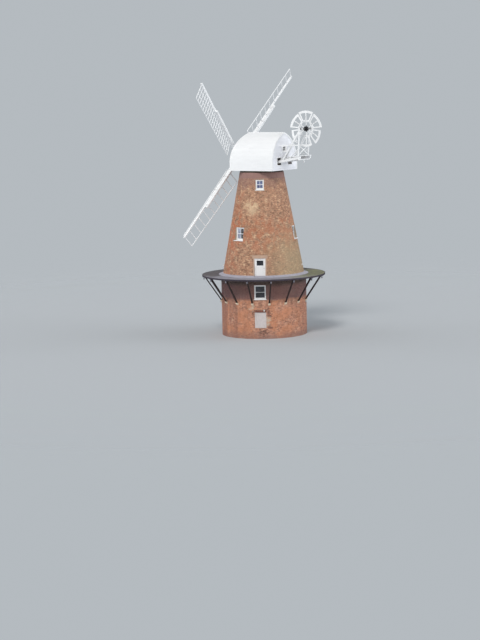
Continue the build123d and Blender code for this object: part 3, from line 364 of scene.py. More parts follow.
def wall_blocks(middle, corners, proud, inset=0.003):
    """Blocks set in the wall round angles `middle`, from corners of (arc, height), anticlockwise from
    outside. The front face is smaller than the back by the inset all round."""
    inwards = np.array([(1, 1), (-1, 1), (-1, -1), (1, -1)]) * inset
    ends = []
    for shift, out in ((0, -0.004), (1, np.asarray(proud)[..., None])):
        arc, height = np.moveaxis(corners + shift * inwards, -1, 0)
        ends.append(on_wall(np.asarray(middle)[..., None] + arc / wall_radius(height), height, out))
    return swept(np.stack(ends, 1))


def bond(low, high, regions, settings, seed):
    """Bricks in Flemish bond: headers and stretchers alternate round each course, and courses are half a
    unit apart. Bricks are shortened or left out where a region of (azimuth, half width, low, high, splay) is
    in the way; its half width grows by the splay from its low to its high level."""
    rng = np.random.default_rng(seed)
    joint = settings.joint
    count = round((high - low) / (settings.height + joint))
    pitch = (high - low) / count
    level = low + (np.arange(count) + 0.5) * pitch
    radius = wall_radius(level)
    unit = settings.stretcher + settings.header + 2 * joint
    units = np.round(2 * pi * radius / unit).astype(int)
    course = np.repeat(np.arange(count), 2 * units)
    place = np.arange(len(course)) - np.repeat(np.cumsum(2 * units) - 2 * units, 2 * units)
    unit_turn = 2 * pi / units[course]
    is_header = place % 2 == 1
    share = settings.stretcher + joint
    turn = (place // 2 + 0.5 * (course % 2)) * unit_turn
    turn = turn + np.where(is_header, (share + (settings.header + joint) / 2), share / 2) / unit * unit_turn
    radius, height = radius[course], level[course]
    half = (np.where(is_header, settings.header, settings.stretcher) + joint) / unit * unit_turn * radius / 2
    half = half - joint / 2 - rng.uniform(0, 0.0025, len(half))
    left, right = -half, half.copy()
    bottom = height - pitch / 2 + joint / 2 + rng.uniform(-0.001, 0.0015, len(half))
    top = height + pitch / 2 - joint / 2 - rng.uniform(-0.001, 0.0015, len(half))
    for azimuth, half_gap, floor, ceiling, splay in regions:
        offset = ((turn - radians(azimuth) + pi) % (2 * pi) - pi) * radius
        reach = half_gap + splay * np.clip((height - floor) / (ceiling - floor), 0, 1)
        beside = (offset + right > -reach) & (offset + left < reach)
        level_with = beside & (height > floor) & (height < ceiling)
        from_left = level_with & (offset + left < -reach)
        from_right = level_with & (offset + right > reach)
        right = np.where(from_left, -reach - joint / 2 - offset, right)
        left = np.where(from_right, reach + joint / 2 - offset, left)
        right = np.where(level_with & ~from_left & ~from_right, left, right)
        top = np.where(beside & (height <= floor), np.minimum(top, floor - joint / 2), top)
        bottom = np.where(beside & (height >= ceiling), np.maximum(bottom, ceiling + joint / 2), bottom)
    keep = (right - left > 0.03) & (top - bottom > 0.02)
    proud = settings.proud * rng.uniform(0.6, 1.3, keep.sum())
    left, right, bottom, top = left[keep], right[keep], bottom[keep], top[keep]
    corners = quads((left, bottom), (right, bottom), (right, top), (left, top))
    return wall_blocks(turn[keep], corners, proud), rng.random(keep.sum())


def wall_strip(azimuth, left, right, corners, stations=9):
    """A band that follows the wall from one arc to another: a section of four (level, proud) corners, from
    the low inner one outwards, is carried round the curve."""
    arc = np.linspace(left, right, stations)
    ring = [on_wall(radians(azimuth) + arc / wall_radius(level), level, out) for level, out in corners]
    return swept(np.stack(ring, 1)[None])


def arch(opening, settings):
    """A flat arch of bricks on edge over an opening, which fan out by the skew at each end."""
    half, gap = opening.width / 2, settings.joint / 2
    count = max(5, 2 * round(opening.width / 0.075 / 2) + 1)
    low, high = (np.linspace(-reach, reach, count + 1) for reach in (half, half + ARCH_SKEW))
    bottom, top = opening.head + gap, opening.head + opening.arch - gap
    feet = (low[:-1] + gap, bottom), (low[1:] - gap, bottom)
    heads = (high[1:] - gap, top), (high[:-1] + gap, top)
    middle = np.full(count, radians(opening.azimuth))
    return wall_blocks(middle, quads(*feet, *heads), np.full(count, settings.proud))


# Shaders


def operators(operation):
    """The methods of a Python operator and of its reflected form, as one kind of Math node."""
    return (
        lambda self, other: self.sum(operation, self, other),
        lambda self, other: self.sum(operation, other, self),
    )


class Value:
    """A shader socket that takes part in Python sums; each sum adds its Math node."""

    __add__, __radd__ = operators("ADD")
    __sub__, __rsub__ = operators("SUBTRACT")
    __mul__, __rmul__ = operators("MULTIPLY")
    __truediv__, __rtruediv__ = operators("DIVIDE")
    __pow__, __rpow__ = operators("POWER")

    def __init__(self, graph, socket):
        self.graph, self.socket = graph, socket

    def sum(self, operation, first, second, clamp=False):
        settings = {"operation": operation, "use_clamp": clamp}
        return self.graph.node("ShaderNodeMath", settings, {0: first, 1: second})

    def cut(self):
        return self.sum("ADD", self, 0.0, clamp=True)


class Graph:
    """The nodes of a material or of the world."""

    def __init__(self, holder, output):
        holder.use_nodes = True
        self.tree = holder.node_tree
        self.tree.nodes.clear()
        self.end = self.tree.nodes.new(output).inputs["Surface"]

    def node(self, kind, settings, inputs, output=0):
        """A node of this kind, with its settings first and then the values or links of its sockets."""
        node = self.tree.nodes.new(kind)
        for name, setting in settings.items():
            if name == "stops":
                while len(node.color_ramp.elements) < len(setting):
                    node.color_ramp.elements.new(0.5)
                for element, (position, tone) in zip(node.color_ramp.elements, setting):
                    element.position, element.color = position, (*tone, 1)
            else:
                setattr(node, name, setting)
        self.fill(node, inputs)
        return Value(self, node.outputs[output])

    def fill(self, node, inputs):
        """Gives sockets their values or links."""
        for name, value in inputs.items():
            socket = node.inputs[name]
            if isinstance(value, Value):
                self.tree.links.new(value.socket, socket)
            elif socket.type == "RGBA":
                socket.default_value = (*value, 1)
            else:
                socket.default_value = value

    def finish(self, surface):
        self.tree.links.new(surface.socket, self.end)


paints = {}


class Paint(Graph):
    """A material with one main shader, whose constants are given here. Its colour is laid on in layers."""

    def __init__(self, name, tone=None, **constants):
        self.name, self.tone, self.material = name, tone, bpy.data.materials.new(name)
        super().__init__(self.material, "ShaderNodeOutputMaterial")
        inputs = {socket.replace("_", " "): value for socket, value in constants.items()}
        self.surface = self.node("ShaderNodeBsdfPrincipled", {}, inputs)
        self.finish(self.surface)
        self.place = self.node("ShaderNodeTexCoord", {}, {}, "Object")

    def noise(self, scale, detail, stretch=None, source=None, distortion=0.0, roughness=0.5):
        vector = source or self.place
        if stretch:
            vector = self.node("ShaderNodeVectorMath", {"operation": "MULTIPLY"}, {0: vector, 1: stretch})
        inputs = {"Scale": scale, "Detail": detail, "Distortion": distortion, "Roughness": roughness}
        return self.node("ShaderNodeTexNoise", {}, {"Vector": vector, **inputs}, "Fac")

    def band(self, value, low, high):
        """0 below low and 1 above high, smooth between; low may be the greater."""
        inputs = {"Value": value, "From Min": low, "From Max": high, "To Min": 0.0, "To Max": 1.0}
        return self.node("ShaderNodeMapRange", {"interpolation_type": "SMOOTHSTEP"}, inputs)

    def patchy(self, scale, detail, low, high, stretch=None):
        """Patches where a noise lies above low, full where it lies above high."""
        return self.band(self.noise(scale, detail, stretch), low, high)

    def mix(self, factor, first, second):
        return self.node("ShaderNodeMix", {"data_type": "RGBA"}, {0: factor, 6: first, 7: second}, 2)

    def lay(self, amount, tone):
        """Lays a tone over the colour so far, and covers it where the amount is 1."""
        self.tone = self.mix(amount, self.tone, tone)

    def ramp(self, value, *stops):
        return self.node("ShaderNodeValToRGB", {"stops": stops}, {0: value}, "Color")

    def own(self):
        """The shade of a face's own brick, board or bar, 0 to 1."""
        return self.node("ShaderNodeAttribute", {"attribute_name": "shade"}, {}, "Fac")

    def part(self, axis):
        return self.node("ShaderNodeSeparateXYZ", {}, {0: self.place}, "XYZ".index(axis))

    def azimuth(self, start):
        """Degrees round the tower from an azimuth, between -180 and 180."""
        x, y, turn = self.part("X"), self.part("Y"), radians(start)
        along, aside = x * cos(turn) + y * sin(turn), y * cos(turn) - x * sin(turn)
        return aside.sum("ARCTAN2", aside, along) * (180 / pi)

    def from_axis(self):
        x, y = self.part("X"), self.part("Y")
        return (x * x + y * y) ** 0.5

    def done(self, roughness, height=None, distance=0.003, strength=0.6):
        """Links the finished colour, roughness and bump, and files the material under its name."""
        values = {"Base Color": self.tone, "Roughness": roughness}
        if height is not None:
            inputs = {"Height": height, "Distance": distance, "Strength": strength}
            values["Normal"] = self.node("ShaderNodeBump", {}, inputs, "Normal")
        self.fill(self.surface.socket.node, values)
        paints[self.name] = self.material


def brick_tones(paint, main, pale):
    """Tones that shift from brick to brick and in loose clusters, with rain streaks down the wall."""
    own = paint.own()
    share = (own * 0.66 + (paint.noise(3.1, 5.0, roughness=0.7) - 0.5) * 2.3 + 0.17).cut()
    darks = (0.02, shade(main, 0.4)), (0.24, shade(main, 0.72))
    paint.tone = paint.ramp(share, *darks, (0.48, main), (0.74, shade(main, 1.24)), (0.98, pale))
    paint.lay(paint.patchy(2.6, 4.0, 0.5, 0.7, (1, 1, 0.12)) * 0.4, shade(main, 0.55))
    return own


def stain_bricks(paint, own, patches, tone, wobble=0.2, amount=0.85):
    """Ragged patches of another tone on the wall, 1 within the solid radius and 0 beyond the faded one. Their
    edges step from brick to brick."""
    for azimuth, level, inner, outer in patches:
        radius, turn = float(wall_radius(level)), radians(azimuth)
        ends = {0: paint.place, 1: (radius * cos(turn), radius * sin(turn), level)}
        away = paint.node("ShaderNodeVectorMath", {"operation": "DISTANCE"}, ends, "Value")
        ragged = away + (paint.noise(3.0, 4.0) - 0.5) * (2 * wobble) + (own - 0.5) * (outer - inner)
        paint.lay(paint.band(ragged, outer, inner) * amount, tone)


def drum_brick_paint(settings):
    """Orange-red bricks, greyer near the ground, with painted shadow of the gallery in purplish brown over
    the upper drum and painted shade, near black, right under the deck.
    """
    paint = Paint("drum_brick")
    own = brick_tones(paint, settings.drum, linear(216, 172, 146))
    cloud, height = paint.noise(0.8, 4.0), paint.part("Z")
    warm = paint.band(cloud, 0.44, 0.58) * paint.band(paint.azimuth(42), 75.0, 20.0)
    paint.lay(warm * 0.5, linear(214, 138, 94))
    left = paint.band(paint.azimuth(-12), 30.0, 0.0) * paint.patchy(1.6, 4.0, 0.42, 0.6, (1, 1, 0.1))
    paint.lay(left * 0.6, linear(128, 82, 74))
    foot = paint.band(height + (paint.noise(2.2, 4.0) - 0.5) * 1.2, 0.9, 0.1)
    paint.lay(foot * 0.65, linear(134, 98, 94))
    # Painted shadow of the gallery: purplish brown over the drum above about 3.7 m, with a ragged level edge.
    painted_gallery_shadow = paint.band(height + (cloud - 0.5) * 0.3 + (own - 0.5) * 0.15, 3.6, 3.86)
    paint.lay(painted_gallery_shadow * 0.76, linear(90, 60, 77))
    # Painted shade under the deck: near black at the top of the drum.
    under = paint.band(height + (cloud - 0.5) * 0.2, 4.85, 5.35)
    paint.lay(under * 0.92, linear(36, 25, 36))
    paint.lay(paint.patchy(9.0, 5.0, 0.6, 0.7) * 0.25, linear(212, 186, 164))
    stain_bricks(paint, own, DARK_PATCHES, linear(98, 52, 48))
    stain_bricks(paint, own, PALE_PATCHES, linear(208, 192, 170))
    pits = paint.noise(60.0, 3.0)
    paint.done(0.72 + pits * 0.2, pits + own * 0.5, 0.004)


def cone_brick_paint(settings):
    """Tan bricks with redder patches in the middle, lime near the top and lichen low on the right."""
    paint = Paint("cone_brick")
    own = brick_tones(paint, settings.cone, linear(222, 190, 154))
    cloud = paint.noise(0.7, 5.0) - 0.5
    ragged = paint.part("Z") + cloud * 3
    middle = paint.band(ragged, 7.8, 9.2) * paint.band(ragged, 12.0, 10.8)
    left = paint.band(paint.azimuth(0) + cloud * 30, -4.0, -18.0) * paint.band(ragged, 14.2, 13.4)
    red = paint.patchy(2.1, 5.0, 0.4, 0.58)
    paint.lay(red * (middle * 0.45 + left * 0.3 + 0.08).cut(), linear(188, 98, 58))
    paint.lay(paint.band(ragged, 14.0, 14.9) * 0.65, linear(142, 102, 96))
    stain_bricks(paint, own, LIME_PATCHES, linear(236, 206, 168), 0.35, 0.65)
    side = paint.band(paint.azimuth(60) + cloud * 60, -38.0, 20.0)
    paint.lay(side * paint.band(ragged, 11.5, 7.5) * 0.55, linear(172, 160, 126))
    paint.lay(paint.patchy(8.0, 5.0, 0.58, 0.68) * 0.3, linear(220, 198, 168))
    pits = paint.noise(60.0, 3.0)
    paint.done(0.74 + pits * 0.2, pits + own * 0.6, 0.004)


def arch_paint(name, main):
    """Rubbed bricks of one firing, with small shifts from brick to brick."""
    paint = Paint(name)
    paint.tone = paint.ramp(paint.own(), (0.0, shade(main, 0.75)), (0.6, main), (1.0, shade(main, 1.25)))
    paint.lay(paint.patchy(3.0, 4.0, 0.5, 0.75) * 0.4, linear(96, 66, 58))
    pits = paint.noise(60.0, 3.0)
    paint.done(0.75 + pits * 0.15, pits)


def mortar_paint(name, main, warmth, slope, radius):
    """Sandy mortar outside and limewash on the inner face of the walls."""
    paint = Paint(name)
    sand = paint.noise(45.0, 4.0)
    paint.tone = paint.ramp(sand, (0.25, shade(main, 0.7)), (0.75, shade(main, 1.1)))
    paint.lay(paint.patchy(0.8, 4.0, 0.35, 0.7) * 0.6, warmth)
    depth = paint.from_axis() + (paint.part("Z") - DRUM_HEIGHT) * slope
    paint.lay(paint.band(depth, radius - 0.15, radius - 0.25), linear(222, 216, 204))
    paint.done(0.85 + sand * 0.1, sand, 0.002)


def cement_paint(name, main, stain, scale):
    """Trowelled cement with soft blotches, run marks and coarse grit."""
    paint = Paint(name, main)
    blotch = paint.noise(2.6 * scale, 6.0, roughness=0.6)
    grit = paint.noise(70.0, 3.0)
    paint.lay(paint.band(blotch, 0.35, 0.7) * 0.4, shade(main, 0.76))
    paint.lay(paint.patchy(5.0, 3.0, 0.5, 0.75, (1, 1, 0.15)) * 0.4, stain)
    paint.lay(paint.band(grit, 0.4, 0.7) * 0.2, shade(main, 1.2))
    paint.done(0.8 + grit * 0.15, grit + blotch * 2, 0.004)


def grain_of(paint, along):
    """Fine grain and broad figure that run along the piece: along an axis, or along its own grain map."""
    if along == "own":
        source = paint.node("ShaderNodeUVMap", {"uv_map": "grain"}, {})
        stretch = (1.0, 14.0, 1.0)
    else:
        source = paint.place
        stretch = tuple(1.0 if axis == along else 14.0 for axis in "XYZ")
    fine = paint.noise(6.0, 4.0, stretch, source)
    return fine, paint.noise(1.1, 2.0, tuple(s**0.5 for s in stretch), source, distortion=0.6)


def painted_timber(name, main, along, grime, wear, sheen=0.4, grime_tone=(0.33, 0.34, 0.36)):
    """Oil paint on timber: brush marks along the grain, rain streaks, grime in hollows and worn flecks."""
    paint = Paint(name, main)
    fine, broad = grain_of(paint, along)
    paint.lay(paint.band(broad, 0.35, 0.7) * 0.3 + paint.own() * 0.3, shade(main, 0.9))
    dirt = paint.patchy(7.0, 4.0, 0.5, 0.78, (1, 1, 0.12)) * paint.patchy(0.9, 3.0, 0.3, 0.7)
    paint.lay(dirt * grime, grime_tone)
    worn = paint.band(paint.noise(13.0, 6.0) + fine * 0.25, 0.84, 0.88)
    paint.lay(worn * wear, linear(150, 138, 122))
    paint.done(sheen + broad * 0.15 + worn * 0.3, fine - worn * 1.5, 0.001, 0.4)


def bare_timber(name, dark, light, along="own", moss=None, pendant=None, front_sheen=None):
    """Weathered boards: silver grain, split lines and, where asked, a painted sheen of pale lilac grey round
    the front of the gallery and moss round one side of it, or another tone on the pendants below its rim."""
    paint = Paint(name, dark)
    fine, broad = grain_of(paint, along)
    silver, split = paint.band(fine, 0.3, 0.7), paint.band(fine, 0.3, 0.24)
    paint.lay(silver, light)
    paint.lay(paint.band(broad, 0.4, 0.7) * 0.4, shade(dark, 0.8))
    paint.lay(paint.own() * 0.3, shade(light, 0.75))
    paint.lay(split * 0.5, shade(dark, 0.4))
    if pendant:
        outside = paint.band(paint.from_axis(), 5.74, 5.75) * paint.band(paint.part("Z"), 5.66, 5.64)
        paint.lay(outside, paint.mix(silver, shade(pendant, 0.7), pendant))
    if moss:
        facing, around, patches = paint.azimuth(FRONT), paint.azimuth(98), paint.noise(3.4, 5.0)
        ragged = paint.noise(1.2, 4.0) - 0.5
        # Painted sheen: round the front of the gallery the boards turn pale lilac grey.
        ahead = paint.band((facing * facing) ** 0.5 + ragged * 40, 76.0, 50.0)
        paint.lay(ahead * 0.85, paint.mix(silver, shade(front_sheen, 0.8), front_sheen))
        side = paint.band(around + ragged * 50, -44.0, -16.0) * paint.band(around, 75.0, 45.0)
        paint.lay(side * paint.band(patches, 0.3, 0.6) * 0.8, moss)
        paint.lay(paint.band(patches, 0.5, 0.72) * 0.3, linear(146, 142, 132))
        paint.lay(paint.patchy(2.1, 4.0, 0.55, 0.7) * 0.35, linear(74, 66, 66))
    paint.done(0.72 + fine * 0.2, fine - split)


def iron_paint(name, main, rust=0.35, metallic=0.4, hub=None):
    """Painted iron with rust blooming through. Round a hub on a level axle it is bare, and white beyond."""
    paint = Paint(name, main, Metallic=metallic)
    bloom, grit = paint.patchy(7.0, 6.0, 0.55, 0.72), paint.noise(80.0, 3.0)
    paint.lay(paint.band(grit, 0.35, 0.7) * 0.3, shade(main, 1.5))
    paint.lay(bloom * rust, linear(112, 66, 44))
    if hub:
        y, z = paint.part("Y") - hub[1], paint.part("Z") - hub[2]
        paint.lay(paint.band((y * y + z * z) ** 0.5, 0.3, 0.31), linear(236, 237, 238))
    paint.done(0.42 + bloom * 0.35 + grit * 0.1, grit + bloom, 0.001)


def glass_paint():
    """Old window glass, a little wavy: dark below, paler bluish grey in the middle windows on one half of the
    tower, and a painted reflection of the sky in the top windows.
    """
    paint = Paint("window_glass", IOR=1.5, Coat_Weight=0.6, Coat_Roughness=0.03)
    wave, height = paint.noise(3.0, 2.0), paint.part("Z")
    dust, cloudy = paint.patchy(2.4, 3.0, 0.45, 0.8), paint.patchy(1.7, 2.0, 0.4, 0.6)
    paint.tone = paint.mix(paint.band(wave, 0.35, 0.7), linear(16, 14, 22), linear(36, 38, 52))
    half = paint.band(paint.azimuth(FRONT - 40), 0.6, -0.6) * paint.band(height, 8.2, 8.6)
    paint.lay(half, paint.mix(cloudy, linear(140, 148, 170), linear(172, 180, 196)))
    # Painted reflection of the sky in the top windows.
    top = paint.band(height, 12.0, 12.5) * paint.band(height, 16.6, 16.2)
    paint.lay(top, paint.mix(cloudy, linear(84, 92, 128), linear(124, 134, 168)))
    paint.lay(dust * 0.12, linear(140, 144, 148))
    paint.done(0.05 + dust * 0.15, wave, 0.004, 0.3)


def lamp_paint():
    """Grey housing with a frosted front that catches light."""
    paint = Paint("lamp_housing", linear(226, 226, 222), Coat_Weight=0.3)
    speck = paint.noise(30.0, 4.0)
    paint.lay(paint.band(speck, 0.4, 0.7) * 0.5, linear(176, 178, 180))
    paint.done(0.3 + speck * 0.2, speck, 0.001)


def finishes():
    """All the finishes by name, made once from the settings."""
    if paints:
        return paints
    mill = bpy.context.scene.windmill
    brick, joinery, gallery, cap, sail = mill.bricks, mill.joinery, mill.gallery, mill.cap, mill.sails
    drum_brick_paint(brick)
    cone_brick_paint(brick)
    arch_paint("dark_arch_brick", linear(124, 66, 54))
    mortar_paint("drum_mortar", brick.mortar, linear(164, 132, 114), 0, DRUM_RADIUS)
    mortar_paint("cone_mortar", brick.mortar, linear(170, 142, 114), CONE_SLOPE, CONE_FOOT_RADIUS)
    for name, main, stain, scale in (
        # The render band: pinkish brown render, darkened further as painted shadow under the cap.
        ("render_band", (152, 118, 110), (104, 78, 74), 0.6),
        ("door_surround", (188, 158, 138), (150, 126, 112), 1.0),
        ("blocking_cement", (206, 198, 196), (160, 148, 142), 1.6),
        ("kerb_cement", (174, 173, 185), (120, 118, 128), 1.0),
        ("corbel_stone", (238, 222, 196), (160, 140, 122), 2.0),
        ("floor_slab", (152, 148, 140), (104, 98, 90), 1.0),
    ):
        cement_paint(name, linear(*main), linear(*stain), scale)
    for name, main, *look in (
        ("joinery_paint", joinery.paint, "own", 0.06, 0.15),
        ("joinery_frame_paint", joinery.paint, "Z", 0.08, 0.15),
        ("entrance_paint", joinery.entrance, "own", 0.3, 0.5),
        ("entrance_leaf_paint", joinery.entrance, "Z", 0.3, 0.5),
        ("cap_paint", cap.paint, "own", 0.05, 0.08, 0.35),
        ("cap_shell_paint", cap.paint, "Y", 0.12, 0.1, 0.35),
        ("gable_paint", cap.gable, "own", 0.12, 0.15, 0.45, (0.5, 0.5, 0.58)),
        ("gable_back_paint", cap.gable, "X", 0.5, 0.4),
        ("stage_paint", sail.paint, "Y", 0.1, 0.15),
        ("fan_paint", sail.paint, "Z", 0.12, 0.2),
        ("sail_paint", sail.paint, "Z", 0.05, 0.1),
        ("stock_paint", shade(sail.paint, 0.98), "Z", 0.05, 0.1),
    ):
        painted_timber(name, tuple(main), *look)
    deck, strut = tuple(gallery.deck), (shade(gallery.strut, 0.6), shade(gallery.strut, 1.5))
    bare_timber("deck_boards", shade(deck, 0.6), deck, moss=tuple(gallery.moss), front_sheen=linear(160, 160, 173))
    bare_timber("strut_stain", *strut, "Z")
    bare_timber("joist_stain", *strut, "Z", pendant=linear(156, 156, 168))
    for name, dark, light, along in (
        # The rim: near black and purplish, painted shade that stands for the shadow under the gallery's edge.
        ("gallery_rim", (40, 33, 44), (80, 72, 84), "own"),
        ("pendant_grey", (96, 88, 94), (150, 144, 152), "own"),
        ("cap_timber", (92, 70, 50), (150, 118, 84), "X"),
        ("curb_timber", (48, 40, 36), (92, 78, 66), "X"),
        ("floor_timber", (104, 80, 56), (160, 128, 92), "Y"),
        ("walkway_boards", (54, 50, 50), (104, 98, 96), "own"),
    ):
        bare_timber(name, linear(*dark), linear(*light), along)
    iron_paint("painted_iron", tuple(sail.iron))
    iron_paint("white_iron", linear(214, 215, 216), 0.25, 0.1)
    iron_paint("fan_iron", linear(34, 33, 36), 0.2)
    iron_paint("fan_spider_iron", linear(30, 29, 33), 0.12, 0.0, FAN.tolist())
    iron_paint("axle_steel", linear(126, 124, 122), 0.3, 0.9)
    glass_paint()
    lamp_paint()
    return paints


# The frame's nodes under their finish; the walls' names go on with the number of the quarter
FINISH_NODES = {
    "drum_mortar": "drum_wall",
    "cone_mortar": "cone_wall",
    "floor_slab": "ground_floor",
    "floor_timber": "first_floor stage_floor window_floor dust_floor",
    "joinery_frame_paint": "tower_window_frames gable_window_frame door_frames stage_doors",
    "window_glass": "tower_glass gable_glass",
    "entrance_leaf_paint": "entrance_door",
    "blocking_cement": "blocked_window_panel",
    "lamp_housing": "wall_lamps",
    "deck_boards": "gallery_deck",
    "joist_stain": "gallery_joists",
    "strut_stain": "gallery_struts",
    "corbel_stone": "strut_corbels",
    "kerb_cement": "kerb_ring",
    "curb_timber": "curb_ring cap_ring",
    "cap_timber": "cap_sheers weather_beam tail_beam rear_beam",
    "cap_shell_paint": "cap_side_left cap_side_right cap_front",
    "gable_back_paint": "cap_gable",
    "painted_iron": "windshaft",
    "stock_paint": "back_stock front_stock",
    "sail_paint": "sail_1 sail_2 sail_3 sail_4",
    "stage_paint": "fan_beams fan_platform fan_frames fan_cross_brace fan_ladder stage_drop",
    "walkway_boards": "fan_walkway",
    "fan_paint": "fan_blades",
    "fan_spider_iron": "fan_spider",
    "axle_steel": "fan_axle",
}
FINISH_OF = {node: finish for finish, nodes in FINISH_NODES.items() for node in nodes.split()}


class Dress(bpy.types.Operator):
    """Shared ground of the operators below"""

    bl_options = {"REGISTER", "UNDO"}

    def execute(self, context):
        self.work(context.scene.windmill)
        return {"FINISHED"}


class PaintFrame(Dress):
    """Give every part of the frame its finish"""

    bl_idname = "windmill.paint_frame"
    bl_label = "Paint Frame"

    def work(self, mill):
        for name, node in frame["nodes"].items():
            finish = FINISH_OF.get(name) or FINISH_OF[name[: len("drum_wall")]]
            node.data.materials.clear()
            node.data.materials.append(finishes()[finish])


def opening_regions():
    """What the brickwork leaves free for openings, arches and surrounds."""
    regions = []
    for openings, jamb, lap, skew in (
        (WINDOWS + [ENTRANCE, BLOCKED], 0, 0, ARCH_SKEW),
        (STAGE_DOORS, JAMB_WIDTH, LINTEL_LAP, 0),
    ):
        for azimuth, width, sill, head, rise, _ in openings:
            regions.append((azimuth, width / 2 + jamb, sill, head, 0))
            regions.append((azimuth, width / 2 + lap, head, head + rise, skew))
    return regions


class LayBricks(Dress):
    """Lay the bricks of the drum and of the cone"""

    bl_idname = "windmill.lay_bricks"
    bl_label = "Lay Bricks"

    def work(self, mill):
        for name, brick, low, high, seed in (
            ("drum_bricks", "drum_brick", 0.003, DRUM_HEIGHT - 0.004, 11),
            ("cone_bricks", "cone_brick", STAGE_FLOOR + 0.01, RENDER_BAND_FOOT, 12),
        ):
            shape, shades = bond(low, high, opening_regions(), mill.bricks, seed)
            make(name, [shape], brick, "tower", shades)


class DressOpenings(Dress):
    """Build the arches, the gallery doors' surrounds and thresholds, and the render band under the cap"""

    bl_idname = "windmill.dress_openings"
    bl_label = "Arches and Surrounds"

    def work(self, mill):
        for name, openings, finish, slot in (
            ("cone_arches", MIDDLE_WINDOWS + TOP_WINDOWS, "cone_brick", "cone_brick"),
            ("drum_arches", LOWER_WINDOWS + [ENTRANCE], "drum_brick", "drum_brick"),
            ("blocked_arch", [BLOCKED], "dark_arch_brick", "drum_brick"),
        ):
            make(name, [arch(opening, mill.bricks) for opening in openings], finish, "tower")
        surround, thresholds = [], []
        for door in STAGE_DOORS:
            half, head, sill = door.width / 2, door.head, door.sill
            for left, right, low, high, proud, stations in (
                (-half - LINTEL_LAP, half + LINTEL_LAP, head, head + door.arch - 0.01, 0.014, 9),
                (-half - JAMB_WIDTH, -half, sill, head - 0.004, 0.012, 3),
                (half, half + JAMB_WIDTH, sill, head - 0.004, 0.012, 3),
            ):
                section = (low, -0.01), (low, proud), (high, proud), (high, -0.01)
                surround.append(wall_strip(door.azimuth, left, right, section, stations))
            fall = (sill - 0.002, -0.38), (sill - 0.002, 0.385), (sill + 0.03, 0.385), (sill + 0.12, -0.38)
            thresholds.append(wall_strip(door.azimuth, -half + 0.004, half - 0.004, fall))
        make("door_surrounds", surround, "door_surround", "tower")
        make("door_thresholds", thresholds, "kerb_cement", "tower")
        levels = np.linspace(RENDER_BAND_FOOT + 0.004, TOWER_TOP - 0.004, 7)
        faces = wall_radius(levels) + 0.011 + 0.004 * np.sin(levels * 9)
        back = joined(wall_radius(levels[[-1, 0]]) - 0.01, levels[[-1, 0]])
        band = turned(np.concatenate([joined(faces, levels), back]), (0, 0, 0), UP, 96)
        make("render_band", [band], "render_band", "tower")


def opening_frame(opening):
    """Local axes of an opening: the middle of its frame's outer face at the sill, across and outwards."""
    turn = radians(opening.azimuth)
    out = np.array((cos(turn), sin(turn), 0.0))
    across = np.array((-sin(turn), cos(turn), 0.0))
    face = sqrt(float(wall_radius(opening.head)) ** 2 - (opening.width / 2) ** 2) - FRAME_RECESS
    return out * face + UP * opening.sill, across, out


def rails(origin, across, out, lines, front, back):
    """Bars in the plane of an opening, from lines of (x0, z0, x1, z1, width), between two depths."""
    lines = np.asarray(lines, float)
    middle = out * -(front + back) / 2
    x0, z0, x1, z1, width = lines.T[..., None]
    start = origin + x0 * across + z0 * UP + middle
    end = origin + x1 * across + z1 * UP + middle
    return bars(start, end, np.cross(end - start, out), width[:, 0], back - front, 0.005)


def border(left, right, low, high, width=TRIM_WIDTH):
    """Lines of a flat frame round a rectangle: uprights past its corners and level ones between them."""
    half = width / 2
    uprights = [(x, low - width, x, high + width, width) for x in (left - half, right + half)]
    return uprights + [(left, z, right, z, width) for z in (low - half, high + half)]


def sash(low, high, half, stile, bar, columns, foot):
    """Lines of one sash: two stiles, two rails and the upright glazing bars."""
    inner = half - stile
    lines = [(x, low, x, high, stile) for x in (-half + stile / 2, half - stile / 2)]
    lines.append((-inner, low + foot / 2, inner, low + foot / 2, foot))
    lines.append((-inner, high - stile / 2, inner, high - stile / 2, stile))
    for column in range(1, columns):
        x = -half + stile + (2 * half - 2 * stile) * column / columns
        lines.append((x, low + foot, x, high - stile, bar))
    return lines


class FitSashes(Dress):
    """Fit two sliding sashes in every window of the tower and a small light in the gable"""

    bl_idname = "windmill.fit_sashes"
    bl_label = "Fit Sashes"

    def work(self, mill):
        stile, bar = mill.joinery.stile, mill.joinery.glazing_bar
        bead = 0.016
        shapes = []
        for window in WINDOWS:
            place = opening_frame(window)
            half = window.width / 2 - FRAME_BORDER
            low = SILL_HEIGHT + FRAME_BORDER
            high = window.head - window.sill - FRAME_BORDER
            middle = (low + high) / 2
            upper = sash(middle - stile / 2, high, half, stile, bar, window.columns, stile)
            lower = sash(low, middle + stile / 2, half, stile, bar, window.columns, 1.4 * stile)
            beads = [(x, low, x, high, bead) for x in (-half + bead / 2, half - bead / 2)]
            beads.append((-half, high - bead / 2, half, high - bead / 2, bead))
            for lines, front, back in ((upper, 0.022, 0.062), (lower, 0.05, 0.092), (beads, 0.004, 0.022)):
                shapes.append(rails(*place, lines, front, back))
        make("window_sashes", shapes, "joinery_paint", "tower")
        width, height, centre = GABLE_WINDOW
        half = width / 2 - 0.08
        light = sash(0.08, height - 0.08, half, 0.03, 0.02, 2, 0.03)
        light.append((-half, height / 2, half, height / 2, 0.02))
        shape = rails(np.array((0, CAP_REAR, centre - height / 2)), -ACROSS, REARWARDS, light, 0.005, 0.035)
        make("gable_sash", [shape], "joinery_paint", "cap")


def planks(place, half, high, wanted, front, back, gap):
    """Upright planks side by side over a door leaf, between two depths."""
    left, right, low = -half + 0.005, half - 0.005, 0.02
    count = max(1, round((right - left) / wanted))
    pitch = (right - left) / count
    x = left + (np.arange(count) + 0.5) * pitch
    return rails(*place, joined(x, low, x, high, pitch - gap), front, back)


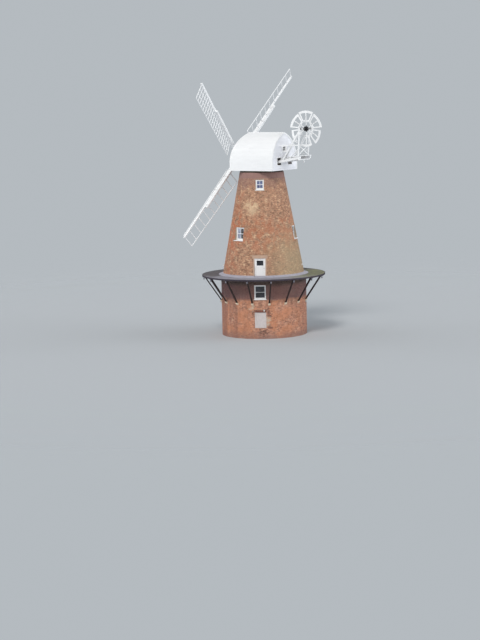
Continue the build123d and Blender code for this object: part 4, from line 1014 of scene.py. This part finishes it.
class HangDoors(Dress):
    """Plank the gallery doors and the ground floor's door, and put on their ironwork"""

    bl_idname = "windmill.hang_doors"
    bl_label = "Hang Doors"

    def work(self, mill):
        face = (FRAME_DEPTH - DOOR_LEAF) / 2
        white, irons = [], []
        for door in STAGE_DOORS:
            origin, across, out = place = opening_frame(door)
            half = door.width / 2 - FRAME_BORDER
            top = door.head - door.sill - FRAME_BORDER - LIGHT_FROM_TOP
            low = top - LIGHT_HEIGHT
            white.append(planks(place, half, low - TRIM_WIDTH, mill.joinery.plank, face - 0.012, face, 0.004))
            light = border(-LIGHT_WIDTH / 2, LIGHT_WIDTH / 2, low, top)
            white.append(rails(*place, light, face - 0.016, face + 0.004))
            irons.append(turned(KNOB, origin + across * (half - 0.08) + UP * 0.82 - out * face, out, 16))
            edge = origin - across * half - out * (face - 0.016)
            hinge = np.array([edge + UP * level for level in (0.3, 1.67)])
            white.append(bars(hinge, hinge + across * 0.3, UP, 0.04, 0.008, 0.002))
        make("stage_door_planks", white, "joinery_paint", "tower")
        origin, across, out = place = opening_frame(ENTRANCE)
        half = ENTRANCE.width / 2 - FRAME_BORDER
        top = ENTRANCE.head - ENTRANCE.sill - FRAME_BORDER - 0.01
        boards = planks(place, half, top, 0.13, face - 0.014, face, 0.005)
        make("entrance_planks", [boards], "entrance_paint", "tower")
        edge = origin - across * half - out * (face - 0.018)
        strap = np.array([edge + UP * level for level in (0.35, 1.7)])
        irons.append(bars(strap, strap + across * 0.85, UP, 0.06, 0.008, 0.002, 0.03))
        centre = origin + across * (half - 0.12) + UP * 1.0 - out * (face - 0.03)
        ring = np.linspace(0, 2 * pi, 10, endpoint=False)
        irons.append(turned(joined(0.05 + 0.007 * np.cos(ring), 0.007 * np.sin(ring)), centre, out, 24))
        make("door_irons", irons, "painted_iron", "tower")


class DeckGallery(Dress):
    """Lay the gallery's radial boards and its rim, and bolt the struts"""

    bl_idname = "windmill.deck_gallery"
    bl_label = "Deck Gallery"

    def work(self, mill):
        settings = mill.gallery
        inner, outer = CONE_FOOT_RADIUS + 0.006, GALLERY_RADIUS - RIM_THICKNESS - 0.002
        count = round(2 * pi * outer / settings.board)
        rng = np.random.default_rng(21)
        out, side = compass((np.arange(count) + 0.5) / count * 2 * pi)
        level = UP * (STAGE_FLOOR - DECK_THICKNESS / 2)
        sink = UP * rng.uniform(-0.003, 0, count)[:, None]
        start, end = (out * radius + level + sink for radius in (inner, outer))
        width, end_width = (2 * pi * radius / count - settings.gap for radius in (inner, outer))
        boards = bars(start, end, side, width, DECK_THICKNESS, 0.004, end_width)
        deck = make("gallery_boards", [boards], "deck_boards", "tower")
        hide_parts("gallery_deck")
        share = np.arange(STRUT_COUNT)[:, None] + 0.001 + 0.998 * np.linspace(0, 1, 9)
        turns = radians(FIRST_STRUT) + share * 2 * pi / STRUT_COUNT
        low, high = STAGE_FLOOR - RIM_HEIGHT, STAGE_FLOOR
        corners = (outer + 0.002, low), (outer + 0.002, high), (GALLERY_RADIUS, high), (GALLERY_RADIUS, low)
        section = np.stack([joined(r * np.cos(turns), r * np.sin(turns), z) for r, z in corners], 2)
        rim = make("gallery_rim", [swept(section)], "gallery_rim", "tower")
        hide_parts("gallery_deck")
        out, side = compass(np.radians(FIRST_STRUT + np.arange(STRUT_COUNT) * 360 / STRUT_COUNT))
        irons = []
        for radius, height, reach in STRUT_BOLTS:
            for way in (-1, 1):
                root = out * radius + UP * height + side * way * reach
                irons.append(nuts(root, side * way * 0.022, UP, 0.04, 0.0115))
        foot = out * 4.235 + UP * (STRUT_FOOT + 0.008)
        irons.append(bars(foot - out * 0.11, foot + out * 0.03, side, 0.2, 0.014, 0.003))
        make("gallery_irons", irons, "painted_iron", "tower")
        tip = out * PENDANT_RADIUS + UP * PENDANT_FOOT
        caps = bars(tip, out * PENDANT_RADIUS + UP * (PENDANT_FOOT - 0.07), side, 0.11, 0.11, 0.02, 0.05)
        make("pendant_caps", [caps], "pendant_grey", "tower")


def arch_line(distance):
    """Half width, height and slope angle of the cap's arch at a distance up from the eaves."""
    straight = CAP_SPRING - CAP_BASE
    angle = np.maximum(distance - straight, 0) / ARCH_RADIUS
    height = np.where(distance < straight, CAP_BASE + distance, CAP_SPRING + ARCH_RADIUS * np.sin(angle))
    return ARCH_CENTRE + ARCH_RADIUS * np.cos(angle), height, angle


def hip_line(height):
    """How far forward the cap's front stands at a height, and the slope angle there."""
    rise = np.maximum(height - CAP_SPRING, 0)
    return HIP_CENTRE - np.sqrt(HIP_RADIUS**2 - rise**2), np.arcsin(rise / HIP_RADIUS)


def half_width_at(height):
    """Half the cap's width at a height."""
    rise = np.maximum(np.asarray(height, float) - CAP_SPRING, 0)
    return ARCH_CENTRE + np.sqrt(np.maximum(ARCH_RADIUS**2 - rise**2, 0))


def both_sides(sections):
    """Sections on the right of the cap and their mirror images on the left, still the right way out."""
    mirrored = (sections * (-1, 1, 1))[:, ::-1]
    return [swept(sections), swept(mirrored)]


class BoardCap(Dress):
    """Cover the cap's sides and front with lapped boards, and the ridge with a roll"""

    bl_idname = "windmill.board_cap"
    bl_label = "Board Cap"

    def work(self, mill):
        rng = np.random.default_rng(31)
        rows = mill.cap.rows
        edges = np.linspace(0.004, ARCH_LENGTH - 0.03, rows + 1)
        low, high = edges[:-1], edges[1:] + 0.012
        hole_level = HUB[2] + (HUB[1] - CAP_FRONT) * SHAFT[2] / -SHAFT[1]
        split = rng.uniform(-0.7, 1.7, rows)
        nearest = np.clip(hole_level, arch_line(low)[1], arch_line(high)[1]) - hole_level
        gap = np.sqrt(np.maximum(SHAFT_HOLE_RADIUS**2 - nearest**2, 0.002**2))

        def edge(distance, proud, stations):
            """Points along one edge of every row, at its stations. A side's points stand out along x, a
            front's along -y, and a corner's along both."""
            half, height, slope = arch_line(distance)
            front, lean = hip_line(height)
            places = {
                "rear": (half, CAP_REAR - 0.004, slope, 1, 0),
                "split_rear": (half, split + 0.002, slope, 1, 0),
                "split_front": (half, split - 0.002, slope, 1, 0),
                "corner": (half, front, slope, 1, 1),
                "quarter": (half * 0.5 + gap * 0.5, front, lean, 0, 1),
                "middle": (gap, front, lean, 0, 1),
            }
            points = []
            for x, y, angle, aside, ahead in (places[name] for name in stations):
                x = x + aside * proud * np.cos(angle)
                y = y - ahead * proud * np.cos(lean)
                points.append(joined(x, y, height + proud * np.sin(angle)))
            return np.stack(points, 1)

        shapes = []
        for stations in (("rear", "split_rear"), ("split_front", "corner", "quarter", "middle")):
            ring = ((low, -0.012), (low, mill.cap.lap), (high, 0.003), (high, -0.012))
            shapes += both_sides(np.stack([edge(*corner, stations) for corner in ring], 2))
        make("cap_weatherboards", shapes, "cap_paint", "cap")
        ends = ((0, y, CAP_RIDGE - 0.004) for y in (CAP_RIDGE_FRONT - 0.05, CAP_REAR + 0.045))
        trims = [bars(*ends, ACROSS, 0.17, 0.075, 0.022)]
        level = CAP_BASE + 0.04
        side, end, front = CAP_HALF_WIDTH + 0.008, CAP_HALF_WIDTH + 0.02, CAP_FRONT - 0.008
        for start, stop in (
            ((side, CAP_FRONT - 0.006), (side, CAP_REAR)),
            ((-side, CAP_FRONT - 0.006), (-side, CAP_REAR)),
            ((-end, front), (end, front)),
        ):
            trims.append(bars((*start, level), (*stop, level), UP, 0.08, 0.03))
        half, height, slope = arch_line(np.linspace(0.02, ARCH_LENGTH - 0.002, 22))
        barge = []
        for out, back in ((-0.13, 0.012), (0.02, 0.012), (0.02, 0.042), (-0.13, 0.042)):
            x = np.maximum(half + out * np.cos(slope), 0.001)
            barge.append(joined(x, CAP_REAR + back, height + out * np.sin(slope)))
        make("cap_trims", trims + both_sides(np.stack(barge, 1)[None]), "cap_paint", "cap")


class BoardGable(Dress):
    """Board the rear gable round its window and the holes of the two fan beams"""

    bl_idname = "windmill.board_gable"
    bl_label = "Board Gable"

    def work(self, mill):
        width, height, centre = GABLE_WINDOW
        inner, outer, hole_low, hole_high = BEAM_HOLE
        window_low, window_high = centre - height / 2 - 0.02, centre + height / 2 + 0.02
        stops = (CAP_BASE + 0.004, hole_low, hole_high, window_low, window_high, CAP_RIDGE - 0.1)
        rows = [np.linspace(*stops[i : i + 2], count)[:-1] for i, count in enumerate((5, 6, 5, 6, 9))]
        levels = np.concatenate([*rows, stops[-1:]])
        boards = []
        for low, high in zip(levels[:-1], levels[1:]):
            middle = (low + high) / 2
            half = float(half_width_at(middle))
            cuts = [(-half, half)]
            if window_low < middle < window_high:
                cuts = [(-half, -width / 2 - 0.02), (width / 2 + 0.02, half)]
            if hole_low < middle < hole_high:
                cuts = [(-half, -outer), (-inner, inner), (outer, half)]
            foot, head = half_width_at([low, high]) - 0.004
            for left, right in cuts:
                feet = [(min(max(x, -foot), foot), low) for x in (right, left)]
                boards.append(feet + [(min(max(x, -head), head), high + 0.01) for x in (left, right)])
        x, z = np.moveaxis(np.array(boards), -1, 0)
        proud = np.array((0.016, 0.016, 0.005, 0.005))
        sections = np.stack([joined(x, CAP_REAR + depth, z) for depth in (-0.01, proud)], 1)
        make("gable_boards", [swept(sections)], "gable_paint", "cap")
        trims = []
        for hole in (
            (-width / 2, width / 2, centre - height / 2, centre + height / 2),
            (inner, outer, hole_low, hole_high),
            (-outer, -inner, hole_low, hole_high),
        ):
            trims.append(rails(np.array((0, CAP_REAR, 0)), ACROSS, REARWARDS, border(*hole), -0.03, 0.005))
        make("gable_trims", trims, "joinery_paint", "cap")


def sail_axes(number):
    """Out along a sail and towards its leading side; the windshaft's line is the third axis."""
    turn = radians(SAIL_TURN + 90 * number)
    up = np.array((0, SHAFT[2], -SHAFT[1]))
    out = up * cos(turn) - ACROSS * sin(turn)
    return out, np.cross(SHAFT, out)


class IronSails(Dress):
    """Strap and bolt the sails to their stocks, and wedge the stocks in the poll end"""

    bl_idname = "windmill.iron_sails"
    bl_label = "Sail Ironwork"

    def work(self, mill):
        straps, studs, wedges = [], [], []
        thick, wide = mill.sails.strap_thickness, mill.sails.strap_width
        for number in range(4):
            out, lead = sail_axes(number)
            low, high = STOCK_LIFTS[number % 2]
            bottom, top = SHAFT * (low - thick / 2), SHAFT * (high + thick / 2)
            for radius in STRAP_RADII:
                share = (radius - 0.45) / (STOCK_HALF_LENGTH - 0.45)
                half = STOCK_HALF_WIDTH + (STOCK_TIP_HALF_WIDTH - STOCK_HALF_WIDTH) * share
                half = max(half + thick / 2 + 0.001, 0.09)
                centre = HUB + out * radius
                ring = ((-1, bottom), (1, bottom), (1, top), (-1, top))
                start = np.array([centre + lead * half * way + lift for way, lift in ring])
                end = np.roll(start, -1, 0)
                run = (end - start) / np.linalg.norm(end - start, axis=-1, keepdims=True) * thick / 2
                straps.append(bars(start - run, end + run, out, wide, thick, 0.0015))
                roots = np.array([centre + lead * way * half * 0.55 + top for way in (-1, 1)])
                studs.append(nuts(roots, SHAFT * 0.02, out, 0.034, 0.0098))
            radii = np.linspace(HEEL_RADIUS, OUTER_BAR_RADIUS, BARS[number % 2])
            heads = HUB + radii[:, None] * out + SHAFT * high
            studs.append(nuts(heads, SHAFT * 0.014, out, 0.03, 0.0085))
            tip = HUB + out * (SAIL_RADIUS - 0.09) + SHAFT * (high - 0.075)
            straps.append(bars(tip - lead * 0.066, tip + lead * 0.066, out, 0.05, 0.16, 0.003))
            for way in (-1, 1):
                root = HUB + out * 0.38 + lead * way * 0.152 + SHAFT * (low + 0.125)
                wedges.append(bars(root, root + out * 0.11, lead, 0.036, 0.14, 0.004, 0.02))
        make("sail_straps", straps, "white_iron", "sails")
        make("sail_bolts", studs, "painted_iron", "sails")
        make("poll_wedges", wedges, "cap_timber", "sails")


def beam_top(y):
    """Height of the fan beams' upper face."""
    slope = radians(BEAM_SLOPE)
    return BEAM_GABLE_HEIGHT + (y - CAP_REAR) * tan(slope) + BEAM_DEPTH / 2 / cos(slope)


def stage_planks(front, rear, half, thick, wanted):
    """Planks across the two fan beams, from front to rear."""
    slope = radians(BEAM_SLOPE)
    count = round((rear - front) / wanted)
    y = front + (np.arange(count) + 0.5) * (rear - front) / count
    centre = joined(0.0, y, beam_top(y) + thick / 2 / cos(slope))
    width = (rear - front) / count / cos(slope) - 0.008
    uphill = (0, cos(slope), sin(slope))
    return bars(centre - ACROSS * half, centre + ACROSS * half, uphill, width, thick, 0.004)


class PlankFanStage(Dress):
    """Lay the planks of the walkway and of the platform behind the cap"""

    bl_idname = "windmill.plank_fan_stage"
    bl_label = "Plank Fan Stage"

    def work(self, mill):
        front, rear, _, thick = WALKWAY
        ends = [np.array((0, y, beam_top(y) + thick + 0.035)) for y in (front + 0.01, rear - 0.01)]
        toes = []
        for x in (-TOE_BOARD_OFFSET, TOE_BOARD_OFFSET):
            toes.append(bars(ends[0] + ACROSS * x, ends[1] + ACROSS * x, ACROSS, 0.03, 0.07))
        make("walkway_toe_boards", toes, "stage_paint", "cap")
        walkway = make(
            "walkway_planks", [stage_planks(*WALKWAY, 0.15)], "walkway_boards", "cap"
        )
        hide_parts("fan_walkway")
        y, half, thick = CROSS_TIMBER
        level = beam_top(y) - BEAM_DEPTH / cos(radians(BEAM_SLOPE)) - thick / 2
        timber = bars((-half, y, level), (half, y, level), UP, thick, thick, 0.008)
        platform = make(
            "platform_planks", [stage_planks(*PLATFORM, 0.18), timber], "stage_paint", "cap"
        )
        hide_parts("fan_platform")


class FitFan(Dress):
    """Bolt the fan's blades, and give the axle its bearings and nuts"""

    bl_idname = "windmill.fit_fan"
    bl_label = "Fit Fan"

    def work(self, mill):
        bolts, collars, bearings = [], [], []
        pitch = radians(FAN_PITCH)
        for number in range(FAN_BLADES):
            turn = radians(360 / FAN_BLADES * number)
            out = np.array((0, sin(turn), cos(turn)))
            across = np.array((0, cos(turn), -sin(turn)))
            facing = ACROSS * cos(pitch) + across * sin(pitch)
            for radius in (0.76, 0.9, 1.05, 1.16):
                for way, lift in ((1, 0.04), (-1, -0.06)):
                    root = FAN + out * radius + facing * lift
                    bolts.append(nuts(root, facing * way * 0.016, out, 0.036, 0.0105))
            for way in (1, -1):
                root = FAN + out * 0.15 + ACROSS * way * 0.11
                bolts.append(nuts(root, ACROSS * way * 0.02, out, 0.05, 0.0146))
        for way in (-1, 1):
            collar = (0.048, 0.11), (0.13, 0.11), (0.12, 0.15), (0.075, 0.2), (0.048, 0.2)
            collars.append(turned(collar, FAN, ACROSS * way, 32))
            seat = FAN + ACROSS * way * SHEER_OFFSET
            top = seat + UP * 0.108
            bearings.append(bars(top - (0, 0.17, 0), top + (0, 0.11, 0), ACROSS, 0.09, 0.016, 0.003))
            for shift in (-0.1, 0.07):
                bearings.append(nuts(top + np.array((0, shift, 0.008)), UP * 0.022, ACROSS, 0.034, 0.01))
            washer = (0.05, 0.062), (0.085, 0.062), (0.085, 0.074), (0.05, 0.074)
            bearings.append(turned(washer, seat, ACROSS * way, 24))
        make("fan_bolts", bolts + collars, "fan_iron", "fantail")
        make("axle_bearings", bearings, "painted_iron", "cap")


def put(name, data, place=(0, 0, 0), turn=(0, 0, 0)):
    """An object of the studio, turned by degrees about x, y and z."""
    held = bpy.data.objects.new(name, data)
    held.location, held.rotation_euler = place, Euler([radians(degrees) for degrees in turn])
    bpy.context.scene.collection.objects.link(held)
    return held


class LightStudio(Dress):
    """Lay the floor, set the light and place the camera"""

    bl_idname = "windmill.light_studio"
    bl_label = "Light Studio"

    def work(self, mill):
        settings, scene = mill.studio, bpy.context.scene
        scene.view_settings.view_transform = "Standard"
        mesh = bpy.data.meshes.new("studio_floor")
        rim = FLOOR_RADIUS * compass(np.linspace(0, 2 * pi, FLOOR_CORNERS, endpoint=False))[0]
        mesh.from_pydata(rim.tolist(), [], [list(range(FLOOR_CORNERS))])
        floor = put("studio_floor", mesh)
        paint = Paint("studio_floor", tuple(settings.floor))
        paint.lay(paint.noise(0.5, 3.0) * 0.08, shade(settings.floor, 0.94))
        paint.done(0.9)
        clear = paint.node("ShaderNodeBsdfTransparent", {}, {})
        fade = paint.band(paint.from_axis(), *FLOOR_FADE)
        paint.finish(paint.node("ShaderNodeMixShader", {}, {0: fade, 1: paint.surface, 2: clear}))
        mesh.materials.append(paint.material)
        scene.world = bpy.data.worlds.new("studio")
        world = Graph(scene.world, "ShaderNodeOutputWorld")
        way = world.node("ShaderNodeTexCoord", {}, {}, "Generated")
        height = world.node("ShaderNodeSeparateXYZ", {}, {0: way}, 2)
        strength = (1.6 - 1.25 * height.sum("MAXIMUM", height, 0.0)) * settings.sky
        light = world.node("ShaderNodeBackground", {}, {"Color": (0.92, 0.96, 1.0), "Strength": strength})
        shown = world.node("ShaderNodeBackground", {}, {"Color": tuple(settings.backdrop)})
        rays = ("Is Camera Ray", "Is Glossy Ray", "Is Transmission Ray")
        direct, glossy, through = (world.node("ShaderNodeLightPath", {}, {}, ray) for ray in rays)
        seen = (direct + glossy + through).cut()
        world.finish(world.node("ShaderNodeMixShader", {}, {0: seen, 1: light, 2: shown}))
        for name, strength, angle, tint, tilt, heading in (
            ("key_light", settings.sun, 16, (1.0, 0.97, 0.935), 48, 108),
            ("fill_light", 0.65 * settings.sun, 60, (0.95, 0.97, 1.0), 75, 210),
            ("front_light", 0.36 * settings.sun, 60, (0.97, 0.98, 1.0), 72, 14),
        ):
            lamp = bpy.data.lights.new(name, "SUN")
            lamp.energy, lamp.angle, lamp.color = strength, radians(angle), tint
            put(name, lamp, turn=(tilt, 0, heading))
        camera = bpy.data.cameras.new("camera")
        camera.lens, camera.sensor_width = settings.lens, 36
        camera.clip_start, camera.clip_end = 5, 900
        scene.camera = put("camera", camera, CAMERA_PLACE, CAMERA_TURN)


STEPS = (
    PaintFrame,
    LayBricks,
    DressOpenings,
    FitSashes,
    HangDoors,
    DeckGallery,
    BoardCap,
    BoardGable,
    IronSails,
    PlankFanStage,
    FitFan,
    LightStudio,
)


class WindmillSettings(bpy.types.PropertyGroup):
    bricks: PointerProperty(type=BrickSettings, name="Bricks", description="Sizes and colours of the bricks")
    joinery: PointerProperty(type=JoinerySettings, name="Joinery", description="Windows and doors")
    gallery: PointerProperty(type=GallerySettings, name="Gallery", description="Deck and struts")
    cap: PointerProperty(type=CapSettings, name="Cap", description="Boards and paint of the cap")
    sails: PointerProperty(type=SailSettings, name="Sails", description="Straps and paint of the sails")
    studio: PointerProperty(type=StudioSettings, name="Studio", description="Floor, light and camera")


class WindmillPanel(bpy.types.Panel):
    """Lists the settings and the steps"""

    bl_idname = "VIEW3D_PT_windmill"
    bl_label = "Windmill"
    bl_space_type = "VIEW_3D"
    bl_region_type = "UI"
    bl_category = "Windmill"

    def draw(self, context):
        mill = context.scene.windmill
        for group in (mill.bricks, mill.joinery, mill.gallery, mill.cap, mill.sails, mill.studio):
            box = self.layout.box()
            for name in group.__annotations__:
                box.prop(group, name)
        for step in STEPS:
            self.layout.operator(step.bl_idname)


CLASSES = (
    BrickSettings,
    JoinerySettings,
    GallerySettings,
    CapSettings,
    SailSettings,
    StudioSettings,
    WindmillSettings,
    *STEPS,
    WindmillPanel,
)


def register():
    for cls in CLASSES:
        bpy.utils.register_class(cls)
    bpy.types.Scene.windmill = PointerProperty(type=WindmillSettings)


def unregister():
    del bpy.types.Scene.windmill
    for cls in reversed(CLASSES):
        bpy.utils.unregister_class(cls)


def main():
    """Registers the add-on and runs its steps in order."""
    register()
    for step in STEPS:
        group, name = step.bl_idname.split(".")
        getattr(getattr(bpy.ops, group), name)()
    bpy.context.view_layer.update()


if __name__ == "__main__":
    main()
